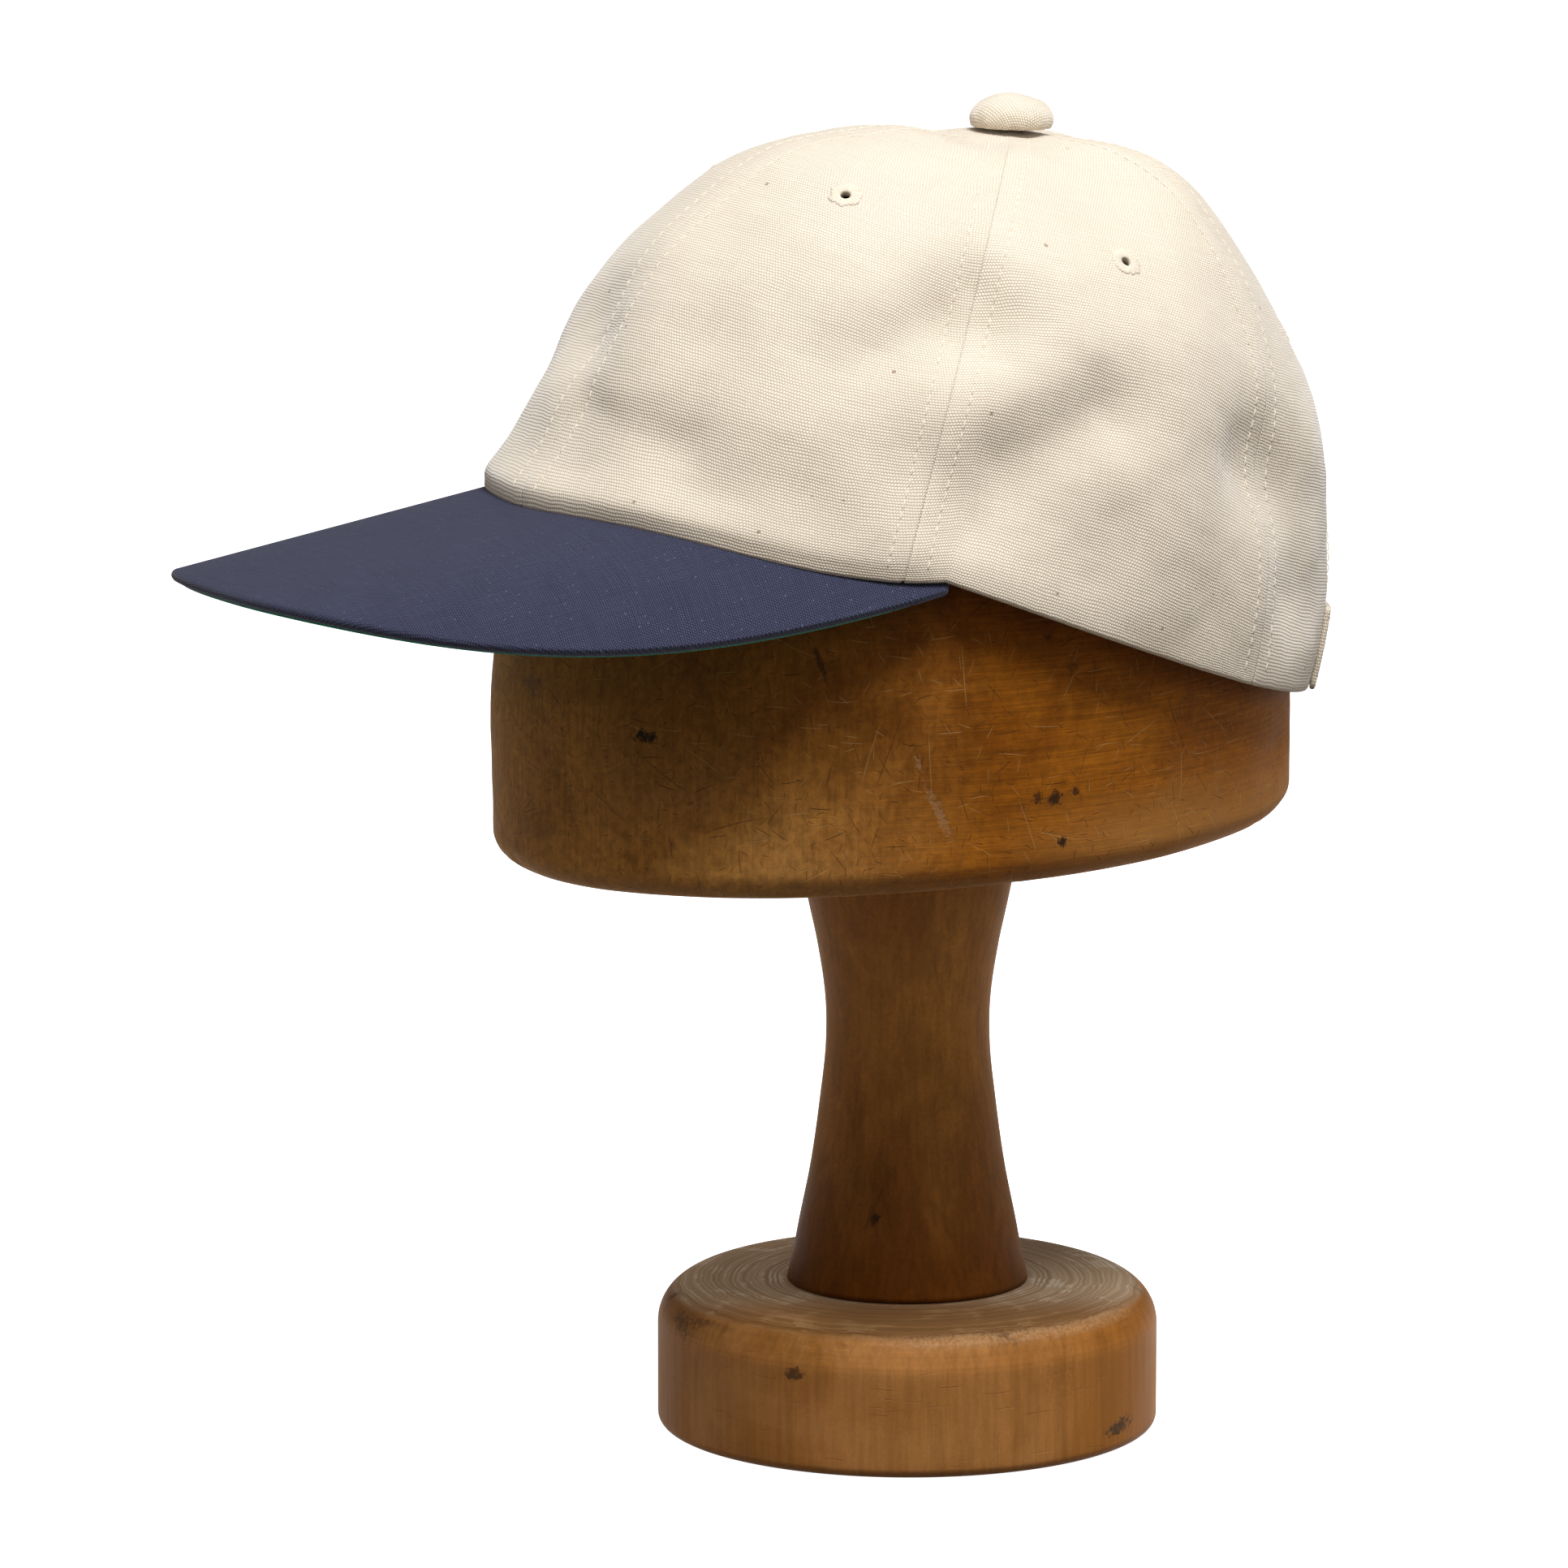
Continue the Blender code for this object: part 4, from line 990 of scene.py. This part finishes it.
def panel_grid(start, end, columns=84, rows=132):
    """Outer points and millimetre UVs of a panel, on rows of even length up its middle."""
    middle = (start + end) / 2
    fine = np.linspace(0, 1, 500) * float(climb_at_tip(np.array(middle)))
    run = smooth_crown(np.full_like(fine, middle), fine)
    length = run_length(run)
    level = np.interp(np.linspace(0, length[-1], rows), length, fine) / fine[-1]
    even = np.linspace(0, 1, columns)
    across = 0.45 * even + 0.55 * (1 - np.cos(math.pi * even)) / 2
    tips = climb_at_tip(start + (end - start) * across)
    climb = level[:, None] * tips[None, :]
    edge_climb = level * min(tips[0], tips[-1])
    low = start + seam_inset(start, edge_climb)
    high = end - seam_inset(end, edge_climb)
    turn = low[:, None] + (high - low)[:, None] * across[None, :]
    points = crown_surface(turn, climb)
    above = points[..., 2] - edge_height(turn)
    tuck = LIP_TUCK * lip_at(turn) / LIP_OUT * np.exp(-(above / LIP_TUCK_HEIGHT) ** 2)
    points = points - unit(points * np.array([1, 1, 0])) * tuck[..., None]
    steps = np.linalg.norm(np.diff(points, axis=1), axis=-1)
    aside = np.concatenate([np.zeros((rows, 1)), np.cumsum(steps, axis=1)], axis=1)
    width = aside[:, -1:]
    near = np.minimum(aside, width - aside)
    direction = unit(points - CORE)
    rise = np.clip(above / LIP_HEIGHT, 0, 1)
    wrinkle = wrinkles_at(points)
    points = points + direction * (seam_relief(near, width) + wrinkle * rise)[..., None]
    uv = np.stack([aside - width / 2, np.repeat(np.linspace(0, length[-1], rows)[:, None], columns, 1)], -1)
    return points, uv / MM, aside


def stitch_line(points, aside, from_left):
    """Places and outward directions on a panel along a row of stitches beside one of its seams."""
    normal = grid_normals(points, CORE)
    places, outward = [], []
    for row in range(1, len(points)):
        width = aside[row, -1]
        if width < 2.6 * STITCH_FROM_SEAM:
            break
        target = STITCH_FROM_SEAM if from_left else width - STITCH_FROM_SEAM
        places.append(between(target, aside[row], points[row]))
        outward.append(between(target, aside[row], normal[row]))
    return np.array(places), unit(np.array(outward))


def stitches_along(places, outward, skip=1.2 * MM):
    """Points, faces and UVs of short threads along a line, each dipping into the cloth at both ends."""
    length = run_length(places)
    count = int((length[-1] - 2 * skip) / STITCH_PITCH)
    shares, sides = (-1.2, -0.95, -0.6, 0, 0.6, 0.95, 1.2), 6
    around = circle(sides)
    points, faces, uv = [], [], []
    for index in range(count):
        centre = skip + (index + 0.5) * STITCH_PITCH
        for share in shares:
            at = centre + share * STITCH_LENGTH / 2
            place = between(at, length, places)
            out = unit(between(at, length, outward))
            forward = unit(between(at + STITCH_PITCH, length, places) - place + 1e-9)
            side = unit(np.cross(forward, out))
            radius = STITCH_RADIUS * (1 - 0.25 * share * share)
            lift = STITCH_RADIUS * (0.6 - 1.3 * share ** 4)
            ring = np.cos(around)[:, None] * side + np.sin(around)[:, None] * out
            points.append(place + out * lift + ring * radius)
            uv += [(share, 0)] * sides
        faces += tube_faces(len(shares), sides, index * len(shares) * sides)
    return np.concatenate(points), faces, uv


def thread_piece(name, runs, finish):
    """One object from several runs of stitches."""
    points, faces, uv, first = [], [], [], 0
    for places, outward in runs:
        run_points, run_faces, run_uv = stitches_along(places, outward)
        faces += [[corner + first for corner in face] for face in run_faces]
        points.append(run_points)
        uv += run_uv
        first += len(run_points)
    thing = mesh_object(name, np.concatenate(points), faces, uv, finish)
    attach(thing, "root")


def eyelet_place(turn):
    def face(aside, up):
        point = crown_surface(turn + np.degrees(aside / CROWN_FRONT), EYELET_CLIMB + up / CROWN_HEIGHT)
        return point + unit(point - CORE) * wrinkles_at(point)[..., None]

    return CAP_PLACE @ frame_on(face)


def eyelet(name, turn, finish):
    """A ring of thread sewn round a hole: one ridge a stitch, with a slightly uneven rim."""
    threads, sides = 26, 156
    draw = np.random.default_rng(RANDOM_SEED + int(turn + 180))
    reach = 1 + 0.05 * np.repeat(draw.normal(size=threads), sides // threads)
    angle = circle(sides)
    ridge = np.abs(np.cos(angle * threads / 2))
    top = EYELET_THICKNESS
    profile = [
        (EYELET_BORE, -CLOTH, 0.0), (EYELET_BORE, -0.6 * MM, 0.0), (EYELET_BORE * 1.02, 0.0, 0.2),
        (EYELET_BORE * 1.15, top * 0.5, 0.6), (EYELET_BORE * 1.5, top * 0.8, 1.0),
        (EYELET_BORE * 2.1, top * 0.9, 1.0), (EYELET_RADIUS * 0.72, top * 0.8, 1.0),
        (EYELET_RADIUS * 0.88, top * 0.5, 0.9), (EYELET_RADIUS * 0.97, top * 0.1, 0.6),
        (EYELET_RADIUS * 0.96, EYELET_FOOT, 0.0), (EYELET_NECK, EYELET_FOOT, 0.0),
        (EYELET_NECK, -CLOTH, 0.0),
    ]
    points = []
    for radius, height, share in profile:
        out = radius * np.where(radius > 0.8 * EYELET_RADIUS, reach, 1)
        lift = height + EYELET_RIDGE * (ridge - 0.6) * share
        points.append(np.stack([out * np.cos(angle), out * np.sin(angle), lift], axis=-1))
    faces = tube_faces(len(profile), sides, closed=True)
    uv = np.zeros((len(profile) * sides, 2))
    thing = mesh_object(name + "_thread", points, faces, uv, finish, eyelet_place(turn))
    finish_piece(thing, "thread", name)


def on_opening(width, height, count=120):
    """Places and outward directions on the crown along a half-moon of this size round the back opening."""
    angle = np.linspace(0, math.pi, count)
    x = width * np.cos(angle)
    z = height * np.sin(angle) + float(edge_height(np.array(180.0)))
    turn = 180 - np.degrees(np.arcsin(np.clip(x / CROWN_HALF_WIDTH, -0.9, 0.9)))
    climb = np.full_like(turn, 0.1)
    step = 0.01
    for _ in range(14):
        signed = signed_turn(turn)
        now = crown_surface(signed, climb)
        by_turn = (crown_surface(signed - step, climb) - now) / step
        by_climb = (crown_surface(signed, climb + step * step) - now) / (step * step)
        miss_x, miss_z = x - now[:, 0], z - now[:, 2]
        scale = by_turn[:, 0] * by_climb[:, 2] - by_turn[:, 2] * by_climb[:, 0]
        turn = turn - (miss_x * by_climb[:, 2] - miss_z * by_climb[:, 0]) / scale
        climb = climb + (miss_z * by_turn[:, 0] - miss_x * by_turn[:, 2]) / scale
        climb = np.clip(climb, 0.0, 0.9)
    points = crown_surface(signed_turn(turn), climb)
    return points, unit(points - CORE)


def opening_hem(finish):
    """Rolled hem round the half-moon opening, a thick thread of cloth on the panels' cut edge."""
    places, outward = on_opening(OPENING_HALF_WIDTH, OPENING_HEIGHT)
    middle = places - outward * CLOTH / 2
    forward = unit(np.gradient(middle, axis=0))
    side = unit(np.cross(forward, outward))
    around = circle(14)
    rings = (middle[:, None] + HEM_RADIUS * (np.cos(around)[None, :, None] * side[:, None]
                                             + np.sin(around)[None, :, None] * outward[:, None]))
    uv = np.stack(np.meshgrid(run_length(middle), around * HEM_RADIUS, indexing="ij"), axis=-1) / MM
    thing = mesh_object("opening_hem", rings, tube_faces(*rings.shape[:2]), uv, finish)
    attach(thing, "root")


def make_crown(finish):
    seams = (0, SIDE_SEAM_TURN, BACK_SEAM_TURN, 180)
    runs = []
    for place, low, high in zip(("front", "side", "back"), seams, seams[1:]):
        for side, sign in (("left", 1), ("right", -1)):
            label = f"{place}_{side}"
            start, end = sorted((sign * low, sign * high))
            points, uv, aside = panel_grid(start, end)
            cloth = cloth_sheet(f"{label}_cloth", points, uv, CLOTH, CORE, finish["canvas"],
                                side_bulge=SEAM_BULGE)
            hole = Matrix.Diagonal((EYELET_NECK + CLEARANCE, EYELET_NECK + CLEARANCE, 8 * CLOTH, 1))
            middle = (start + end) / 2
            cut_with(cloth, cone_cutter("hole", 24, eyelet_place(middle) @ hole))
            if place == "back":
                shape = Matrix.Diagonal((OPENING_HALF_WIDTH, CROWN_BACK, OPENING_HEIGHT, 1))
                bar = shape @ Matrix.Rotation(math.pi / 2, 4, "X")
                rest = Matrix.Translation((0, CROWN_BACK, float(edge_height(np.array(180.0)))))
                cut_with(cloth, cone_cutter("opening", 120, CAP_PLACE @ rest @ bar))
            finish_piece(cloth, "canvas", f"{label}_panel")
            eyelet(f"{label}_eyelet", middle, finish["eyelet"])
            lines = [stitch_line(points, aside, from_left) for from_left in (True, False)]
            if place == "back":
                inner = 1 if sign > 0 else 0
                places, outward = lines[inner]
                centre_top = places[:, 2] > OPENING_HEIGHT + ROW_OVER_OPENING
                lines[inner] = (places[centre_top], outward[centre_top])
            runs += lines
    opening_hem(finish["canvas"])
    places, outward = on_opening(OPENING_HALF_WIDTH + OPENING_ROW_OUT, OPENING_HEIGHT + OPENING_ROW_OUT)
    above = places[:, 2] > STRAP_WIDTH + ROW_OVER_STRAP
    runs.append((places[above], outward[above]))
    thread_piece("crown_stitches", runs, finish["thread"])


def make_button(finish):
    """Cloth-covered dome: the cloth is drawn in under it, so it gathers towards its foot."""
    place = CAP_PLACE @ button_frame()
    to_camera = Vector((math.sin(CAMERA_TURN), -math.cos(CAMERA_TURN), 0))
    turn = Matrix.Rotation(BUTTON_LEVELLED, 4, to_camera)
    centre = Matrix.Translation(place.translation + Vector((0, 0, BUTTON_LIFT)))
    place = centre @ turn @ Matrix.Translation(-place.translation) @ place
    waist = BUTTON_WAIST * BUTTON_HEIGHT
    dome = BUTTON_HEIGHT - waist
    drawn_in = BUTTON_RADIUS - BUTTON_UNDER_RADIUS
    profile = [(0.02 * MM, BUTTON_HEIGHT)]
    profile += [(BUTTON_RADIUS * out, waist + dome * up) for out, up in quarter(30)]
    profile += [(BUTTON_RADIUS - drawn_in * (1 - up), waist * (1 - out)) for out, up in quarter(8)]
    stem = TIP_RADIUS - BUTTON_STEM_PLAY
    profile += line(profile[-1], (stem, 0), 3) + line((stem, 0), (stem, -BUTTON_STEM_LENGTH), 2)
    profile = np.array(profile)
    sides = 144
    angle = circle(sides)
    radius, height = profile[:, :1], profile[:, 1:]
    points = np.stack([radius * np.cos(angle), radius * np.sin(angle), np.repeat(height, sides, 1)], -1)
    draw = np.random.default_rng(RANDOM_SEED + 5)
    gathers = sum(np.cos(angle * count + draw.uniform(0, 6.28)) for count in (9, 13, 17, 22)) / 2.2
    foot = np.clip(1.15 - height / (0.75 * BUTTON_HEIGHT), 0, 1) ** 1.3
    uneven = Ripples(7 * MM, 21).at(points) * 0.09 * MM + Ripples(2.6 * MM, 22).at(points) * 0.03 * MM
    outward = unit(points - np.array([0, 0, 0.2 * BUTTON_HEIGHT]))
    kept = (height >= 0) * np.clip(radius / (2 * MM), 0, 1)
    points = points + outward * ((gathers[None] * BUTTON_GATHER * foot + uneven) * kept)[..., None]
    length = run_length(profile)[:, None]
    uv = np.stack([length * np.cos(angle), length * np.sin(angle)], -1) / MM
    faces = tube_faces(len(profile), sides)
    thing = mesh_object("covered_button", points, faces, uv, finish["canvas"], place)
    finish_piece(thing, "canvas", "button")


# Peak

def visor_grid(depth, inset, columns=190, rows=64):
    corner_x, corner_y = edge_plan(np.array(PEAK_TURN))
    side = np.linspace(1, -1, columns)[None, :]
    along = np.linspace(0, 1, rows)[:, None] ** 0.9
    inner_x, inner_y = edge_plan(side * PEAK_TURN, PEAK_TUCK)
    angle = side * math.pi / 2
    out_x = np.abs(np.sin(angle)) ** (2 / PEAK_FULLNESS) * np.sign(side)
    out_y = np.maximum(np.cos(angle), 0) ** (2 / PEAK_FULLNESS)
    rim_x = (corner_x + PEAK_CORNER_OUT) * out_x
    rim_y = corner_y - (CROWN_FRONT + PEAK_REACH + corner_y) * out_y
    length = np.hypot(rim_x - inner_x, rim_y - inner_y)
    share = along * (1 - inset / np.maximum(length, 2 * inset + CLEARANCE))
    x = inner_x + (rim_x - inner_x) * share
    y = inner_y + (rim_y - inner_y) * share
    step = 0.1 * MM
    slope_x = (peak_height(x + step, y) - peak_height(x - step, y)) / (2 * step)
    slope_y = (peak_height(x, y + step) - peak_height(x, y - step)) / (2 * step)
    size = np.sqrt(1 + slope_x ** 2 + slope_y ** 2)
    points = np.stack([x + slope_x / size * depth, y + slope_y / size * depth,
                       peak_height(x, y) - depth / size], axis=-1)
    uv = np.stack([x, -y / math.cos(PEAK_SLOPE)], axis=-1) / MM
    return points, uv


def make_peak(finish):
    below = np.array([0, -CROWN_FRONT, -200 * MM])
    for name, node_name, depth, inset, thickness, slot in (
            ("peak_cloth", "peak", PEAK_CLEARANCE, 0.0, PEAK_THICKNESS, "navy"),
            ("undervisor_cloth", "undervisor", PEAK_CLEARANCE + PEAK_THICKNESS + CLEARANCE,
             UNDERVISOR_INSET, UNDERVISOR_THICKNESS, "green")):
        points, uv = visor_grid(depth, inset)
        sheet = cloth_sheet(name, points, uv, thickness, below, finish[slot], 7)
        finish_piece(sheet, slot, node_name)


# Strap and buckle

def strap_turn(distance):
    return 180 - distance / (CROWN_HALF_WIDTH * math.radians(1))


def strap_rise(distance):
    away = np.abs(distance - BUCKLE_ASIDE)
    near = BUCKLE_BAR / 2 + CLEARANCE
    far = BUCKLE_LENGTH / 2 - BUCKLE_BAR - CLEARANCE
    share = np.clip((away - near) / (far - near), 0, 1)
    over_bar = STRAP_THICKNESS + BUCKLE_THICKNESS + 2 * BUCKLE_PLAY
    return over_bar * (1 + np.cos(math.pi * share)) / 2


def strap_face(distance, share, outward):
    turn = strap_turn(distance)
    climb = climb_at_height(turn, STRAP_ABOVE_EDGE + STRAP_WIDTH * share)
    return crown_surface(signed_turn(turn), climb, outward)


def make_strap(finish):
    reach = OPENING_HALF_WIDTH + STRAP_OVERLAP
    distance, share = np.meshgrid(reach * np.linspace(1, -1, 220), np.linspace(0, 1, 26))
    lift = CLEARANCE + STRAP_THICKNESS + strap_rise(distance)
    edge = np.minimum(share, 1 - share) * STRAP_WIDTH
    groove = -0.15 * MM * np.exp(-((edge - STRAP_ROW_INSET) / (0.5 * MM)) ** 2)
    points = strap_face(distance, share, lift + groove)
    uv = np.stack([distance, share * STRAP_WIDTH], -1) / MM
    cloth = cloth_sheet("strap_cloth", points, uv, STRAP_THICKNESS, CORE, finish["canvas"])
    finish_piece(cloth, "canvas", "strap")
    runs = []
    along = reach * np.linspace(0.97, -0.97, 260)
    for offset in (STRAP_ROW_INSET, STRAP_WIDTH - STRAP_ROW_INSET):
        level = np.full_like(along, offset / STRAP_WIDTH)
        places = strap_face(along, level, CLEARANCE + STRAP_THICKNESS - 0.1 * MM + strap_rise(along))
        runs.append((places, unit(places - CORE)))
    thread_piece("strap_stitches", runs, finish["thread"])


def make_buckle(finish):
    window_height = STRAP_WIDTH + 2 * BUCKLE_SIDE_PLAY
    height = window_height + 2 * BUCKLE_BAR
    window_length = (BUCKLE_LENGTH - 3 * BUCKLE_BAR) / 2

    def face(aside, up):
        return strap_face(BUCKLE_ASIDE - aside, 0.5 + up / STRAP_WIDTH, 0.0)

    lift = CLEARANCE + STRAP_THICKNESS + BUCKLE_PLAY + BUCKLE_THICKNESS / 2
    place = CAP_PLACE @ frame_on(face) @ Matrix.Translation((0, 0, lift))

    def box(name, size, shift=0.0):
        cube = bmesh.new()
        bmesh.ops.create_cube(cube, size=1)
        cube.transform(Matrix.Translation((shift, 0, 0)) @ Matrix.Diagonal((*size, 1)))
        return shell_object(name, cube)

    slide = box("slide_buckle", (BUCKLE_LENGTH, height, BUCKLE_THICKNESS))
    for side in (-1, 1):
        aside = side * (BUCKLE_BAR + window_length) / 2
        cut_with(slide, box("window", (window_length, window_height, 6 * BUCKLE_THICKNESS), aside))
    rounding = slide.modifiers.new("rounding", "BEVEL")
    rounding.width = BUCKLE_ROUND
    rounding.segments = 4
    bake(slide)
    slide.data.transform(place)
    slide.data.shade_smooth()
    slide.data.materials.clear()
    slide.data.materials.append(finish["metal"])
    finish_piece(slide, "metal", "buckle")


# Stand

def make_block(finish):
    """Oval block with a dome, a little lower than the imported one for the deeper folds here."""
    shoulder = BLOCK_UNDERSIDE + BLOCK_SIDE_HEIGHT
    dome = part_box("hat_block")[1].z - BLOCK_DOME_LOWERED - BLOCK_UNDERSIDE - BLOCK_SIDE_HEIGHT
    power = 2 / BLOCK_DOME_FULLNESS
    profile = [(NEAR_AXIS, shoulder + dome)]
    profile += [(BLOCK_HALF_WIDTH * out ** power, shoulder + dome * up ** power) for out, up in quarter(48)]
    edge = arc((BLOCK_HALF_WIDTH - BLOCK_EDGE_ROUND, BLOCK_UNDERSIDE + BLOCK_EDGE_ROUND),
               BLOCK_EDGE_ROUND, 0, -90, 14)
    profile += line(profile[-1], edge[0], 24) + edge[1:]
    profile += line(profile[-1], (NEAR_AXIS, BLOCK_UNDERSIDE), 10)
    swell, grain = Ripples(46 * MM, 31), Ripples(7 * MM, 32)

    def ripple(points):
        low = np.exp(-((points[..., 2] - BLOCK_UNDERSIDE - 1.5 * MM) / (3 * MM)) ** 2)
        side = np.clip((shoulder + 20 * MM - points[..., 2]) / (20 * MM), 0, 1)
        reach = np.clip(np.hypot(points[..., 0], points[..., 1]) / (30 * MM), 0, 1)
        nicks = -np.clip(grain.at(points) - 0.9, 0, 1) * NICK_DEPTH * low
        worn = swell.at(points) * BLOCK_SWELL * side + grain.at(points) * BLOCK_GRAIN * side
        return (worn + nicks) * reach

    block = turned("oval_block", profile, 320, finish["block_wood"],
                   BLOCK_HALF_LENGTH / BLOCK_HALF_WIDTH, -BLOCK_SET_FORWARD, ripple)
    for point in block.data.vertices:
        low = min(max((shoulder - point.co.z) / BLOCK_SIDE_HEIGHT, 0), 1)
        away = min(max((point.co.xy.length - NECK_FOOT_RADIUS) / NECK_FOOT_RADIUS, 0), 1)
        point.co.z += UNDERSIDE_SLOPE * point.co.y * low * away
    finish_piece(block, "block_wood", "hat_block")


def make_neck(finish):
    foot = BASE_HEIGHT + CLEARANCE
    length = BLOCK_UNDERSIDE - CLEARANCE - foot
    shares = np.linspace(1, 0, 90)
    radii = NECK_FOOT_RADIUS * smooth_through(NECK_SECTIONS, shares, "radius")
    profile = line((NEAR_AXIS, foot + length), (radii[0], foot + length), 6, True)
    profile += [(float(r), foot + length * float(share)) for r, share in zip(radii[1:], shares[1:])]
    profile += line(profile[-1], (NEAR_AXIS, foot), 6)
    neck = turned("turned_neck", profile, 192, finish["neck_wood"])
    finish_piece(neck, "neck_wood", "stand_neck")


def make_base(finish):
    top = BASE_HEIGHT
    crown_edge = arc((BASE_RADIUS - BASE_TOP_ROUND, top - BASE_TOP_ROUND), BASE_TOP_ROUND, 90, 0, 22)
    foot_edge = arc((BASE_RADIUS - BASE_FOOT_ROUND, BASE_FOOT_ROUND), BASE_FOOT_ROUND, 0, -90, 8)
    profile = line((NEAR_AXIS, top), crown_edge[0], 24, True) + crown_edge[1:]
    profile += line(profile[-1], foot_edge[0], 14) + foot_edge[1:]
    profile += line(profile[-1], (NEAR_AXIS, 0), 10)
    base = turned("round_foot", profile, 256, finish["base_wood"])
    finish_piece(base, "base_wood", "stand_base")


# Stage, light and camera

def make_stage():
    floor = bmesh.new()
    bmesh.ops.create_grid(floor, x_segments=2, y_segments=2, size=6)
    plane = shell_object("floor", floor)
    pale = new_material("pale_floor", 0.9)
    pale.shader.inputs["Base Color"].default_value = (0.80, 0.80, 0.80, 1)
    pale.shader.inputs["Emission Color"].default_value = (1, 1, 1, 1)
    pale.shader.inputs["Emission Strength"].default_value = 1.0
    plane.data.materials.append(pale.owner)
    plane.visible_diffuse = False


def area_light(name, place, target, size, power, colour):
    lamp = bpy.data.lights.new(name, "AREA")
    lamp.color = colour
    lamp.shape = "DISK"
    lamp.size = size
    lamp.energy = power
    thing = new_object(name, lamp)
    thing.location = place
    thing.rotation_euler = (Vector(target) - Vector(place)).to_track_quat("-Z", "Y").to_euler()


def make_light():
    """A soft white tent, brighter above than below, with one large lamp over the cap."""
    world = bpy.data.worlds.new("studio")
    n = Nodes(world, "Background")
    height = n.split(n.add("TexCoord")["Generated"])[2]
    n.put("Strength", n.ramp(height, -0.35, 0.45, TENT_BELOW, TENT_ABOVE))
    n.put("Color", n.blend(n.ramp(height, -0.3, 0.4), (1.0, 0.84, 0.66), (1.0, 0.945, 0.88)))
    bpy.context.scene.world = world
    centre = (0, 0, 0.2)
    area_light("overhead", (0.60, -0.10, 1.62), centre, 0.8, 34.5, (0.96, 0.98, 1.0))
    area_light("beside", (0.95, 1.25, 0.75), centre, 0.8, 2.5, (0.97, 0.98, 1.0))


def make_camera():
    back = Vector((math.sin(CAMERA_TURN) * math.cos(CAMERA_LIFT),
                   -math.cos(CAMERA_TURN) * math.cos(CAMERA_LIFT), math.sin(CAMERA_LIFT)))
    right = Vector((math.cos(CAMERA_TURN), math.sin(CAMERA_TURN), 0))
    target = Vector((0, 0, CAMERA_TARGET_HEIGHT)) + right * CAMERA_ASIDE
    lens = bpy.data.cameras.new("camera")
    lens.sensor_width = SENSOR
    lens.lens = CAMERA_DISTANCE / METRES_PER_PIXEL / IMAGE_SIDE * SENSOR
    lens.clip_end = 20
    camera = new_object("camera", lens)
    camera.location = target + back * CAMERA_DISTANCE
    camera.rotation_mode = "QUATERNION"
    camera.rotation_quaternion = (-back).to_track_quat("-Z", "Y")
    bpy.context.scene.camera = camera


make_camera()
make_light()
make_stage()
bpy.context.scene.view_settings.view_transform = "Standard"
FINISH = make_materials()
for make in (make_crown, make_button, make_peak, make_strap, make_buckle, make_block, make_neck, make_base):
    make(FINISH)
